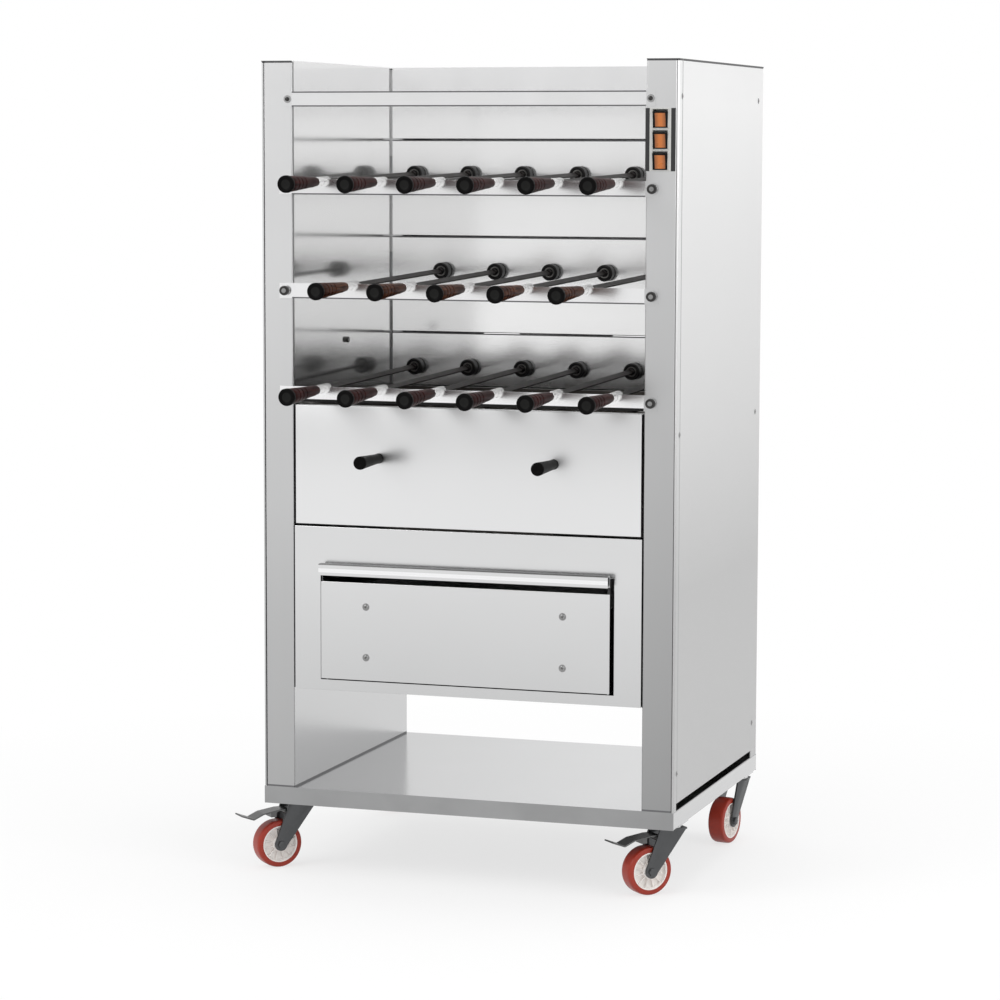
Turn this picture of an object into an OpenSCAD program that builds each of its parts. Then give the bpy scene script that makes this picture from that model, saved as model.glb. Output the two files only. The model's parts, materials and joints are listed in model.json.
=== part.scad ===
/* [Cabinet] */
// Clear width of the grill chamber between the two columns
chamber_w = 600; // [590:5:680]
// Width of each column's front face
column_w = 50; // [46:1:70]
// Depth from the columns' front faces to the rear cover
cabinet_d = 552; // [548:1:620]
// Depth of the closed drive bay behind the chamber
drive_bay_d = 85; // [84:1:110]
// Thickness of the cabinet's sheet metal
sheet_t = 1.5; // [1:0.1:2]
// How far each side panel stands outside its column
side_panel_proud = 4; // [3:0.5:6]
// Height of the dark gap between the base and each side panel
side_slot_h = 12.5; // [10:0.5:24]

/* [Base and castors] */
// Height of a castor, from the floor to the underside of the base
castor_h = 118; // [116:1:130]
// Height of the base frame
base_h = 29; // [26:1:40]
// Height of the open shelf bay
bay_h = 168; // [120:1:260]
// Distance from the cabinet's sides to the castors' swivel axes
castor_inset_x = 30; // [28:1:60]
// Distance from the front face to the front castors' swivel axes
castor_inset_front = 78; // [32:1:90]
// Distance from the rear face to the rear castors' swivel axes
castor_inset_rear = 32; // [32:1:90]
// Diameter of a castor wheel
wheel_d = 80; // [70:1:80]
// Width of a castor wheel
wheel_w = 28; // [24:1:34]
// Horizontal distance from the swivel axis to the wheel's axle
castor_trail = 40; // [34:1:42]
// Direction in which the front left castor trails, in degrees from +X
front_left_trail = -135; // [-180:1:180]
// Direction in which the front right castor trails, in degrees from +X
front_right_trail = -135; // [-180:1:180]
// Direction in which the rear left castor trails, in degrees from +X
rear_left_trail = 90; // [-180:1:180]
// Direction in which the rear right castor trails, in degrees from +X
rear_right_trail = -101; // [-180:1:180]

/* [Lower front] */
// Height of the fixed front panel round the drawer
front_panel_h = 272; // [262:1:300]
// Height of the lift-off heater cover
cover_h = 196.5; // [150:0.5:260]
// Dark gap round the heater cover
cover_gap = 4; // [2:0.5:6]
// Gap between the heater cover and the lowest skewer rail
cover_top_gap = 5.5; // [4:0.5:12]
// Distance between the two grips on the heater cover
grip_spacing = 300; // [200:5:400]
// Length of each grip on the heater cover
grip_l = 90; // [50:1:100]
// Width of the drawer's front
drawer_w = 496; // [400:2:500]
// Height of the drawer's flat front, below its finger pull
drawer_front_h = 157; // [120:1:165]
// Height of the drawer front's lower edge above the shelf bay's ceiling
drawer_lift = 21; // [18:1:28]
// How far the drawer's front stands out from the panel
drawer_proud = 10; // [6:1:14]
// How far the drawer's finger pull stands out from the panel
pull_proud = 22; // [18:1:30]
// Height of the drawer's finger pull
pull_h = 35; // [30:1:38]
// Gap between the drawer's front and its opening
drawer_gap = 3.5; // [3:0.5:8]
// Length of the drawer's tray
drawer_l = 440; // [300:5:460]

/* [Skewer rows] */
// Distance between neighbouring skewers
skewer_pitch = 100; // [96:0.5:102]
// Height from one row of skewers to the next
row_rise = 169.5; // [160:0.5:180]
// Height of each skewer rail
rail_h = 25; // [22:1:32]
// Thickness of each skewer rail
rail_t = 3; // [2:0.5:4]
// Slope of the skewers, falling towards the handles, in degrees
skewer_slope = 1.2; // [0:0.1:2]
// Height of the top bar's upper edge below the cabinet's top
top_bar_drop = 50; // [40:1:60]
// Height from the top row's rail to the cabinet's top
head_h = 217; // [205:1:260]

/* [Skewers] */
// Diameter of the steel ferrule that turns in the rail
ferrule_d = 15; // [13:0.5:16]
// Width of the flat blade
blade_w = 10; // [8:0.5:12]
// Thickness of the flat blade
blade_t = 3; // [2:0.5:4]
// Side of the square tang that the hub drives
tang_w = 9; // [7:0.5:9]
// Diameter of the knob on the end of the handle
knob_d = 28; // [24:1:30]
// Distance from the columns' front faces to the end of the handle
handle_reach = 155; // [130:1:180]
// Outer diameter of the drive hub in the chamber
hub_d = 29; // [24:1:34]
// Diameter of the drive spindle
spindle_d = 12; // [10:0.5:14]
// Number of teeth on each chain sprocket
sprocket_teeth = 12; // [10:1:14]
// Number of chain pitches from one skewer to the next
pitches_per_skewer = 8; // [8:1:9]

/* [Fits] */
// Radial clearance of a shaft that turns in its bore
running_fit = 0.06; // [0.02:0.01:0.1]
// Clearance round the square tang in its socket
tang_fit = 0.1; // [0.05:0.01:0.2]
// Clearance between sliding and rocking pieces and their frames
slide_gap = 0.4; // [0.3:0.1:0.6]

/* [Hidden] */
$fn = 48;

// Rows of skewers, from the bottom up: name, number of skewers
ROWS = [["bottom", 6], ["middle", 5], ["top", 6]];
// Corners with castors: name, side of the cabinet, end of the cabinet, direction of the castor
CORNERS = [
    ["front_left", -1, -1, front_left_trail], ["front_right", 1, -1, front_right_trail],
    ["rear_left", -1, 1, rear_left_trail], ["rear_right", 1, 1, rear_right_trail]
];
SWITCHES = ["upper", "middle", "lower"];

FIXED = ["base_frame", "side_columns", "side_panels", "back_wall", "rear_cover", "skewer_rails",
    "front_panel", "firebox", "heating_elements", "drive_unit", "switch_plate"];

// Widths and depths
half_chamber = chamber_w / 2;
half_column = half_chamber + column_w;
half_w = half_column + side_panel_proud;
front_y = -cabinet_d / 2;
wall_d = cabinet_d - drive_bay_d;
rear_flange_d = cabinet_d - sheet_t;
corner_line = 3;
fold = 15;
side_slot_d = [fold, cabinet_d - 42];
bend_r = 2;
panel_gap = 0.6;
panel_bend_r = side_panel_proud - sheet_t / 2 - panel_gap - 0.1;

// Heights, stacked from the floor up
base_top = castor_h + base_h;
bay_top = base_top + bay_h;
panel_top = bay_top + front_panel_h;
cover_z = panel_top + cover_gap;
cover_top = cover_z + cover_h;
first_rail_z = cover_top + cover_top_gap;
top_rail_z = first_rail_z + 2 * row_rise;
cabinet_top = top_rail_z + head_h;
column_top = cabinet_top - sheet_t;

// Base
base_flange = 24;
stiffener_w = 30;
stiffener_drop = 20;
corner_plate = [90, 112, 5];

// Castors
castor_plate = [52, 60, 4];
race_r = 23;
race_h = 5;
race_gap = 0.5;
kingpin_r = 6;
kingpin_nut = [9, 5.5];
fork_top_t = 3;
fork_half_top = 25;
leg_t = 3;
leg_gap = 2;
axle_r = 4;
axle_boss_r = 11;
axle_head = [7, 4];
axle_z = wheel_d / 2;
tread_t = 9;
tread_round = 5;
hub_web_dish = 7;
hub_core_r = 13;
hub_bead = 3;
fork_top_z = castor_h - castor_plate[2] - race_h - race_gap;
brake_pivot = [26, fork_top_z - fork_top_t - 2 * race_h - 1];
brake_pin_r = 2.5;
brake_barrel_r = 5;
brake_reach = 110;
brake_w = wheel_w + 2;
brake_t = 2.5;

// Drawer and its opening
opening_half_w = drawer_w / 2 + drawer_gap + 1;
opening_z = bay_top + drawer_lift - drawer_gap;
drawer_z = bay_top + drawer_lift;
drawer_front_top = drawer_z + drawer_front_h;
pull_top = drawer_front_top + pull_h;
pull_cover = 6;
opening_top = pull_top - pull_cover;
tray_half_w = drawer_w / 2 - 7;
tray_wall_h = 134;
runner_h = 60;
runner_ledge = 18;
runner_overrun = 30;
pull_lip = 19;
pull_web = 6.5;
pull_strip_w = 3;

// Heater cover and firebox
cover_pan_d = 20;
grip_tip_r = 10.3;
grip_root_r = 7.5;
firebox_front = cover_pan_d + 4;
firebox_rear = wall_d - fold;
firebox_top = first_rail_z - 4;
firebox_half_w = half_chamber - 20;
funnel_drop = 140;
funnel_top = firebox_top - funnel_drop;
funnel_bottom = bay_top + drawer_lift + tray_wall_h + 84;
drip_half_w = 60;
element_z = firebox_top - 35;
element_r = 4.25;
element_leg_gap = 40;
element_front = firebox_front + 40;
terminal_r = 8;
terminal_l = 18;
comb_h = 12;

// Back wall
seam_above_rail = 91.5;
seam_gap = 3;
wall_fold = 10;
hub_hole_r = spindle_d / 2 + 3;

// Skewer rows; s is the distance along a skewer, backwards from the columns' front plane
notch_drop = 3.5;
rail_overlap = 22;
rail_flange = 12;
rail_flange_t = 2.5;
top_bar_h = 24.5;
top_bar_overlap = 15;
rail_bolt_x = 12;
// Radius and length of the rails' thumb screws and of the top bar's bolt heads
rail_bolt = [8, 8];
bar_bolt = [5.5, 4];
hub_s = wall_d - 20;
hub_l = 18;
socket_l = 15;
blade_turn = 35;
ferrule_front_s = -24;
ferrule_rear_s = 28;
knob_l = 10;
tang_l = 13;
bearing_s = wall_d + 4;
bearing_l = 8;
bearing_bar_h = 30;
bar_room = 1;
sprocket_s = bearing_s + bearing_l + 7;
sprocket_t = 6;
sprocket_boss_r = 11;
spindle_end_s = sprocket_s + sprocket_t + 5;
chain_pitch = skewer_pitch / pitches_per_skewer;
roller_r = chain_pitch * 0.34;
chain_plate_t = 1.5;
chain_plate_half_h = chain_pitch * 0.47;
chain_side_gap = 1;
sprocket_pitch_r = chain_pitch / (2 * sin(180 / sprocket_teeth));
sprocket_tip_r = sprocket_pitch_r + 3.4;
sprocket_root_r = sprocket_pitch_r - roller_r;
// Corners of a tooth: share of a tooth's turn from its middle, radius
tooth_steps = [
    [-0.32, sprocket_root_r], [-0.12, sprocket_tip_r], [0.12, sprocket_tip_r], [0.32, sprocket_root_r]
];
motor_plate_t = 3;
motor_plate_s = spindle_end_s + 2;
drive_end_l = 12;
gearbox = [30, 24];
motor_can = [20, 14];

// Rear cover
vent_slot = [70, 6];
vent_pitch = 14;
vent_rows = 8;
vent_x = 120;
gland_bore_r = 5;
gland_r = 11;
gland_l = 16;
gland_nut_l = 5;
gland_x = -half_chamber + 60;
gland_z = bay_top + 60;

// Switches on the right column
switch_pitch = 33;
switch_plate_size = [49, 99];
switch_x = half_chamber + 23.5;
switch_drop = 127;
switch_z = cabinet_top - switch_drop;
switch_plate_t = 1.5;
rocker_half = [12, 13.2];
rocker_tilt = 10;
rocker_proud = 4;
rocker_pivot_d = 4;
rocker_pin_r = 1.5;
bezel_half = [13.5, 15.6];
bezel_wall = [1.1, 0.9];
bezel_proud = 3;
switch_body_l = 14;

// ---- Shape helpers ----

function unit(v) = v / norm(v);
function left(v) = [-v[1], v[0]];
function cross2(a, b) = a[0] * b[1] - a[1] * b[0];

// A line with each inner corner rounded by an arc of the given radius
function rounded(line, radius, steps = 4) = [
    for (i = [0 : len(line) - 1])
        if (i == 0 || i == len(line) - 1) line[i]
        else let (
            a = unit(line[i] - line[i - 1]),
            b = unit(line[i + 1] - line[i]),
            side = sign(cross2(a, b)),
            turn = acos(a * b),
            start = line[i] - a * radius * tan(turn / 2),
            centre = start + left(a) * side * radius
        )
        for (k = [0 : steps])
            let (angle = side * turn * k / steps, arm = start - centre)
            centre + [arm[0] * cos(angle) - arm[1] * sin(angle), arm[0] * sin(angle) + arm[1] * cos(angle)]
];

// The same line moved sideways by the distance, with mitred corners
function beside(line, distance) = [
    for (i = [0 : len(line) - 1])
        let (
            a = unit(line[max(i, 1)] - line[max(i, 1) - 1]),
            b = unit(line[min(i, len(line) - 2) + 1] - line[min(i, len(line) - 2)])
        )
        line[i] + (left(a) + left(b)) * distance / (1 + a * b)
];

// Outline of a bent sheet whose middle follows the line
module bent_sheet(line, thickness, radius = bend_r) {
    middle = rounded(line, radius);
    edge = beside(middle, thickness / 2);
    polygon(concat(edge, [for (i = [len(middle) - 1 : -1 : 0]) middle[i] * 2 - edge[i]]));
}

// Moves pieces from the columns' front plane to their place about the cabinet's centre
module from_front() {
    translate([0, front_y, 0]) children();
}

// Repeats a piece on the left and on the right
module both_sides() {
    children();
    mirror([1, 0, 0]) children();
}

// Extrudes an outline drawn in depth and height across the width, centred
module across(width) {
    translate([-width / 2, 0, 0]) rotate([90, 0, 90]) linear_extrude(width) children();
}

// Extrudes an outline drawn in width and height backwards from the given depth
module backwards(depth, length) {
    translate([0, depth + length, 0]) rotate([90, 0, 0]) linear_extrude(length) children();
}

// A box from its low corner to its high corner
module span(low, high) {
    translate(low) cube(high - low);
}

// A round bar that runs backwards
module bar_back(radius, length) {
    rotate([-90, 0, 0]) cylinder(r = radius, h = length);
}

// ---- Row geometry ----

function rail_z(row) = first_rail_z + row * row_rise;
function axis_z(row) = rail_z(row) + rail_h - notch_drop;
function skewer_x(row, i) = (i - (ROWS[row][1] + 1) / 2) * skewer_pitch;

// The frame of a row: X across, Y back along the skewers' slope
module row_frame(row) {
    from_front() translate([0, 0, axis_z(row)]) rotate([skewer_slope, 0, 0]) children();
}

// ---- Base and cabinet ----

module base_frame() {
    half_t = sheet_t / 2;
    middle_line = [
        [-half_w + base_flange, castor_h + half_t], [-half_w + half_t, castor_h + half_t],
        [-half_w + half_t, base_top - half_t], [half_w - half_t, base_top - half_t],
        [half_w - half_t, castor_h + half_t], [half_w - base_flange, castor_h + half_t]
    ];
    color("darkgray") from_front() {
        union() {
            backwards(sheet_t, cabinet_d - 2 * sheet_t) bent_sheet(middle_line, sheet_t, 1.5);
            for (d = [0, cabinet_d - sheet_t])
                span([-half_w, d, castor_h], [half_w, d + sheet_t, base_top]);
            for (d = [1, 2] * cabinet_d / 3) stiffener(d);
            for (end = [-1, 1]) both_sides() corner_reinforcement(end);
        }
        for (corner = CORNERS) at_castor(corner) castor_plate_and_pin();
    }
}

// Channel welded under the shelf
module stiffener(depth) {
    low = base_top - sheet_t - stiffener_drop;
    high = base_top - sheet_t;
    across(2 * half_w - sheet_t) translate([depth - stiffener_w / 2, 0])
        bent_sheet([[0, high], [0, low], [stiffener_w, low], [stiffener_w, high]], sheet_t, 1.5);
}

function castor_depth(end) = end < 0 ? castor_inset_front : cabinet_d - castor_inset_rear;

// Thick plate inside the base, over a castor's bolts
module corner_reinforcement(end) {
    low_d = end < 0 ? sheet_t : cabinet_d - sheet_t - corner_plate[1];
    translate([half_w - sheet_t - corner_plate[0], low_d, castor_h]) cube(corner_plate);
}

// The place of one castor's swivel axis on the floor
module at_castor(corner) {
    translate([corner[1] * (half_w - castor_inset_x), castor_depth(corner[2]), 0]) children();
}

module castor_plate_and_pin() {
    plate_z = castor_h - castor_plate[2];
    pin_low = fork_top_z - fork_top_t - race_gap - kingpin_nut[1];
    union() {
        translate([-castor_plate[0] / 2, -castor_plate[1] / 2, plate_z]) cube(castor_plate);
        translate([0, 0, plate_z - race_h]) cylinder(r = race_r, h = race_h);
        translate([0, 0, pin_low]) cylinder(r = kingpin_r, h = plate_z - pin_low);
        translate([0, 0, pin_low]) cylinder(r = kingpin_nut[0], h = kingpin_nut[1], $fn = 6);
    }
}

module side_columns() {
    color("gainsboro") difference() {
        from_front() both_sides() column();
        from_front() span([switch_x - bezel_half[0], -1, switch_height(2) - bezel_half[1]],
            [switch_x + bezel_half[0], sheet_t + 2, switch_height(0) + bezel_half[1]]);
        for (row = [0 : len(ROWS) - 1]) row_frame(row) drive_notch();
    }
}

// Room between the columns for a row's bearing bar and motor bracket
module drive_notch() {
    half_h = gearbox[0] + bar_room;
    span([-half_chamber, bearing_s - bar_room, -half_h],
        [half_chamber, bearing_s + bearing_l + 2 * bar_room, half_h]);
}

// Right-hand column: front face, inner wall and rear flange folded from one sheet
module column() {
    half_t = sheet_t / 2;
    outer = half_column - half_t;
    inner = half_chamber + half_t;
    middle_line = [
        [outer, fold], [outer, half_t], [inner, half_t], [inner, rear_flange_d - half_t],
        [outer, rear_flange_d - half_t], [outer, rear_flange_d - fold]
    ];
    union() {
        translate([0, 0, base_top]) linear_extrude(column_top - base_top) bent_sheet(middle_line, sheet_t);
        // Strip that the back wall's folds are screwed to
        span([half_chamber - 18, wall_d + wall_fold, firebox_top + 2],
            [half_chamber + half_t, wall_d + wall_fold + sheet_t, column_top]);
    }
}

module side_panels() {
    color("gainsboro") from_front() both_sides() side_panel();
}

module side_panel() {
    half_t = sheet_t / 2;
    outer = half_w - half_t;
    height = column_top - base_top;
    middle_line = [
        [half_column + panel_gap, half_t], [outer, half_t],
        [outer, cabinet_d - half_t], [half_column, cabinet_d - half_t]
    ];
    union() {
        difference() {
            translate([0, 0, base_top]) linear_extrude(height)
                bent_sheet(middle_line, sheet_t, panel_bend_r);
            span([half_column, side_slot_d[0], base_top - 1],
                [half_w + 1, side_slot_d[1], base_top + side_slot_h]);
        }
        span([half_chamber, 0, column_top], [half_w, rear_flange_d, cabinet_top]);
        span([half_column, 0, column_top], [half_w, cabinet_d, cabinet_top]);
    }
}

module back_wall() {
    seams = [for (row = [0 : len(ROWS) - 1]) rail_z(row) + seam_above_rail];
    lows = concat([firebox_top + 2], [for (z = seams) z + seam_gap / 2]);
    highs = concat([for (z = seams) z - seam_gap / 2], [cabinet_top]);
    color("silver") difference() {
        from_front() for (i = [0 : len(lows) - 1]) wall_sheet(lows[i], highs[i], i < len(lows) - 1);
        for (row = [0 : len(ROWS) - 1]) row_frame(row) for (i = [1 : ROWS[row][1]])
            translate([skewer_x(row, i), wall_d - 5, 0]) bar_back(hub_hole_r, 8);
        for (row = [0 : len(ROWS) - 1]) row_frame(row) drive_notch();
    }
}

// One sheet of the back wall, folded backwards along its sides, its lower edge and, under another
// sheet, its upper edge
module wall_sheet(low, high, fold_above) {
    half_t = sheet_t / 2;
    half_l = half_chamber - corner_line;
    back_d = wall_d + wall_fold;
    union() {
        span([-half_l, wall_d, low], [half_l, wall_d + sheet_t, high]);
        for (z = fold_above ? [low, high - sheet_t] : [low])
            span([-half_l, wall_d + half_t, z], [half_l, back_d, z + sheet_t]);
        both_sides() span([half_l - sheet_t, wall_d + half_t, low],
            [half_l, back_d, fold_above ? high : column_top]);
    }
}

module rear_cover() {
    low = bay_top;
    color("silver") from_front() {
        difference() {
            union() {
                span([-half_column, rear_flange_d, low], [half_column, cabinet_d, cabinet_top]);
                span([-half_chamber, wall_d + sheet_t, column_top],
                    [half_chamber, rear_flange_d + 0.5, cabinet_top]);
            }
            both_sides() for (k = [0 : vent_rows - 1], z0 = [first_rail_z, top_rail_z - 60])
                translate([vent_x, rear_flange_d - 1, z0 + k * vent_pitch]) slot(vent_slot, 2 * sheet_t + 2);
            translate([gland_x, rear_flange_d - 1, gland_z]) bar_back(gland_r - 2, 2 * sheet_t + 2);
        }
        translate([gland_x, 0, gland_z]) cable_gland();
    }
}

// A slot with round ends that runs across, cut backwards
module slot(size, length) {
    backwards(0, length) union() {
        square([size[0] - size[1], size[1]], center = true);
        for (side = [-1, 1]) translate([side * (size[0] - size[1]) / 2, 0]) circle(d = size[1]);
    }
}

// Gland for the supply lead: nut inside the cover, body through it and a rounded cap outside
module cable_gland() {
    waist_r = gland_r - 2.2;
    tail_r = gland_r - 3;
    rotate([-90, 0, 0]) translate([0, 0, rear_flange_d]) rotate_extrude() polygon([
        [gland_bore_r, -gland_nut_l - 3], [tail_r, -gland_nut_l - 3], [tail_r, -gland_nut_l],
        [gland_r, -gland_nut_l], [gland_r, 0], [waist_r, 0], [waist_r, sheet_t], [gland_r, sheet_t],
        [gland_r, gland_l - 9], [gland_r - 1.5, gland_l - 8], [gland_r - 1.5, gland_l - 3],
        [tail_r - 1, gland_l], [gland_bore_r, gland_l]
    ]);
}

// ---- Rails and firebox ----

module skewer_rails() {
    color("whitesmoke") {
        for (row = [0 : len(ROWS) - 1]) skewer_rail(row);
        from_front() top_bar();
    }
}

module skewer_rail(row) {
    z = rail_z(row);
    half_l = half_chamber + rail_overlap;
    slot_w = ferrule_d + 2 * running_fit;
    difference() {
        from_front() union() {
            span([-half_l, -rail_t, z], [half_l, 0, z + rail_h]);
            span([-half_chamber + 2, -rail_t, z], [half_chamber - 2, rail_flange, z + rail_flange_t]);
            both_sides() bolt_head([half_chamber + rail_bolt_x, -rail_t, z + rail_h / 2], rail_bolt);
        }
        row_frame(row) for (i = [1 : ROWS[row][1]]) translate([skewer_x(row, i), -2 * rail_t, 0]) {
            bar_back(slot_w / 2, 4 * rail_t);
            translate([-slot_w / 2, 0, 0]) cube([slot_w, 4 * rail_t, rail_h]);
        }
    }
}

module top_bar() {
    half_l = half_chamber + top_bar_overlap;
    high = cabinet_top - top_bar_drop;
    union() {
        span([-half_l, -sheet_t, high - top_bar_h], [half_l, 0, high]);
        for (z = [high - top_bar_h, high - sheet_t])
            span([-half_chamber + 2, -sheet_t, z], [half_chamber - 2, rail_flange, z + sheet_t]);
        both_sides() bolt_head(
            [half_chamber + top_bar_overlap / 2, -sheet_t, high - top_bar_h / 2], bar_bolt);
    }
}

// Head of a bolt that stands out of the front; size is its radius and length
module bolt_head(place, size) {
    translate(place - [0, size[1], 0]) bar_back(size[0], size[1] + 0.5);
}

// Outline of one half of the firebox: rim, side wall and sloping floor
module firebox_half_outline() {
    half_t = sheet_t / 2;
    bent_sheet([
        [half_chamber, firebox_top - half_t], [firebox_half_w, firebox_top - half_t],
        [firebox_half_w, funnel_top], [drip_half_w, funnel_bottom]
    ], sheet_t);
}

module firebox() {
    length = firebox_rear - firebox_front;
    color("dimgray") from_front() difference() {
        union() {
            both_sides() backwards(firebox_front, length) firebox_half_outline();
            for (d = [firebox_front, firebox_rear - sheet_t]) backwards(d, sheet_t) firebox_end_outline();
            // Rim that closes the gap in front of the back wall
            span([-half_chamber, firebox_rear - sheet_t, firebox_top - sheet_t],
                [half_chamber, wall_d + sheet_t, firebox_top]);
        }
        for (x = element_xs(), side = [-1, 1])
            translate([x + side * element_leg_gap / 2, firebox_rear - 2 * sheet_t, element_z])
                bar_back(element_r + 0.4, 4 * sheet_t);
    }
}

module firebox_end_outline() {
    polygon([
        [-firebox_half_w, firebox_top - sheet_t / 2], [-firebox_half_w, funnel_top],
        [-drip_half_w, funnel_bottom], [drip_half_w, funnel_bottom],
        [firebox_half_w, funnel_top], [firebox_half_w, firebox_top - sheet_t / 2]
    ]);
}

function element_xs() = [for (i = [1 : ROWS[0][1]]) (i - (ROWS[0][1] + 1) / 2) * skewer_pitch * 0.9];

module heating_elements() {
    color("dimgray") from_front() {
        for (x = element_xs()) translate([x, 0, element_z]) hairpin();
        comb_bar();
    }
}

// Tubular heater: two legs joined by a bend at the front, with terminals behind the firebox
module hairpin() {
    leg_l = firebox_rear - element_front;
    half_gap = element_leg_gap / 2;
    union() {
        for (side = [-1, 1]) translate([side * half_gap, element_front, 0]) {
            bar_back(element_r, leg_l + terminal_l - 4);
            translate([0, leg_l, 0]) bar_back(terminal_r, 4);
            translate([0, leg_l + 4, 0]) bar_back(1.5, terminal_l);
        }
        translate([0, element_front, 0]) rotate([0, 0, 180]) rotate_extrude(angle = 180)
            translate([half_gap, 0]) circle(r = element_r);
    }
}

// Notched cross bar that carries the heaters near the front
module comb_bar() {
    depth = element_front + 60;
    low = element_z - comb_h;
    inside = firebox_half_w - sheet_t / 2;
    difference() {
        span([-inside, depth, low], [inside, depth + sheet_t, element_z]);
        for (x = element_xs(), side = [-1, 1])
            translate([x + side * element_leg_gap / 2, depth - 1, element_z]) bar_back(element_r + 0.3, 4);
    }
}

module front_panel() {
    edge = half_chamber - 2;
    color("gainsboro") from_front() difference() {
        union() {
            span([-edge, 0, bay_top], [edge, sheet_t, panel_top]);
            span([-edge, 0, panel_top - sheet_t], [edge, cover_pan_d + 2, panel_top]);
            both_sides() span([edge - sheet_t, 0, bay_top], [edge, cover_pan_d, panel_top]);
            // Ceiling of the shelf bay
            span([-half_chamber, sheet_t / 2, bay_top], [half_chamber, rear_flange_d, bay_top + sheet_t]);
            both_sides() drawer_runner();
        }
        span([-opening_half_w, -1, opening_z], [opening_half_w, sheet_t + 1, opening_top]);
    }
}

// Angle that carries and guides one side of the drawer's tray
module drawer_runner() {
    web_x = tray_half_w + slide_gap;
    ledge_z = drawer_z - slide_gap;
    low_d = sheet_t / 2;
    high_d = drawer_l + runner_overrun;
    union() {
        span([web_x, low_d, bay_top], [web_x + sheet_t, high_d, drawer_z + runner_h]);
        span([web_x - runner_ledge, cover_pan_d, ledge_z - sheet_t], [web_x + sheet_t, high_d, ledge_z]);
    }
}

// ---- Drive ----

module drive_unit() {
    color("slategray") for (row = [0 : len(ROWS) - 1]) row_frame(row) {
        bearing_bar(row);
        drive_chain(row);
        gear_motor(row);
    }
}

// Bar between the columns that carries one row's spindles, with the motor's bracket
module bearing_bar(row) {
    first_x = skewer_x(row, 1);
    plate_right = first_x + gearbox[0] + 6;
    plate_h = 2 * gearbox[0];
    difference() {
        union() {
            span([-half_chamber, bearing_s, -bearing_bar_h / 2],
                [half_chamber, bearing_s + bearing_l, bearing_bar_h / 2]);
            span([-half_chamber, bearing_s, -plate_h / 2],
                [-half_chamber + motor_plate_t, motor_plate_s + motor_plate_t, plate_h / 2]);
            span([-half_chamber, motor_plate_s, -plate_h / 2],
                [plate_right, motor_plate_s + motor_plate_t, plate_h / 2]);
        }
        for (i = [1 : ROWS[row][1]])
            translate([skewer_x(row, i), bearing_s - 1, 0])
                bar_back(spindle_d / 2 + running_fit, bearing_l + 2);
        translate([first_x, motor_plate_s - 1, 0]) bar_back(spindle_d / 2 + 2, motor_plate_t + 2);
    }
}

// Outline of a loop round two equal sprockets
module loop_outline(half_l, radius, steps = 18) {
    polygon([
        for (side = [1, -1], k = [0 : steps])
            let (angle = 180 * k / steps - 90)
            side * [half_l + radius * cos(angle), radius * sin(angle)]
    ]);
}

// Chain loop: side plates and the rollers on its free runs. The rollers that would sit between
// a sprocket's teeth are left out, because the loop stands still while the sprockets turn
module drive_chain(row) {
    half_l = (ROWS[row][1] - 1) / 2 * skewer_pitch;
    plate_s = [sprocket_s - chain_side_gap - chain_plate_t, sprocket_s + sprocket_t + chain_side_gap];
    clear_x = sqrt(pow(sprocket_tip_r + roller_r + 1, 2) - pow(sprocket_pitch_r, 2));
    union() {
        for (s = plate_s) backwards(s, chain_plate_t) difference() {
            loop_outline(half_l, sprocket_pitch_r + chain_plate_half_h);
            loop_outline(half_l, sprocket_pitch_r - chain_plate_half_h);
        }
        for (i = [1 : ROWS[row][1] - 1], k = [1 : pitches_per_skewer - 1], side = [-1, 1])
            if (min(k, pitches_per_skewer - k) * chain_pitch > clear_x)
                translate([skewer_x(row, i) + k * chain_pitch, plate_s[0] + chain_plate_t / 2,
                    side * sprocket_pitch_r])
                    bar_back(roller_r, plate_s[1] - plate_s[0]);
    }
}

module gear_motor(row) {
    start_s = motor_plate_s + motor_plate_t;
    translate([skewer_x(row, 1), start_s, 0]) difference() {
        union() {
            bar_back(gearbox[0], gearbox[1]);
            translate([0, gearbox[1], 0]) bar_back(motor_can[0], motor_can[1]);
        }
        translate([0, -1, 0]) bar_back(spindle_d / 2 + slide_gap, drive_end_l + 3);
    }
}

// Tooth outline: flanks between the root and tip circles
function sprocket_points() = [
    for (k = [0 : sprocket_teeth - 1], step = tooth_steps)
        let (angle = (k + 0.5 + step[0]) * 360 / sprocket_teeth)
        step[1] * [cos(angle), sin(angle)]
];

// Drive spindle: hub with its square socket in the chamber, shaft and chain sprocket in the bay.
// The first spindle of a row is longer and reaches into its gear motor
module spindle(driven) {
    end_s = driven ? motor_plate_s + motor_plate_t + drive_end_l : spindle_end_s;
    color("dimgray") difference() {
        union() {
            rotate([-90, 0, 0]) translate([0, 0, hub_s]) rotate_extrude() hub_outline();
            translate([0, hub_s + hub_l - 1, 0]) bar_back(spindle_d / 2, end_s - hub_s - hub_l + 1);
            translate([0, sprocket_s, 0]) backwards(0, sprocket_t) polygon(sprocket_points());
            translate([0, bearing_s + bearing_l + slide_gap, 0])
                bar_back(sprocket_boss_r, sprocket_s - bearing_s - bearing_l);
        }
        translate([0, hub_s - 1, 0]) rotate([0, blade_turn, 0])
            backwards(0, socket_l + 1) square(tang_w + 2 * tang_fit, center = true);
    }
}

// Half outline of the hub: a rounded rim round a dished face
module hub_outline() {
    rim_r = hub_d / 2;
    dish_r = tang_w * 0.5 + 4.5;
    polygon([
        [0, 2], [dish_r, 2], [dish_r + 1.5, 0], [rim_r - 1.5, 0], [rim_r, 1.5],
        [rim_r, hub_l - 2], [rim_r - 2, hub_l], [0, hub_l]
    ]);
}

// ---- Skewers ----

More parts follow.
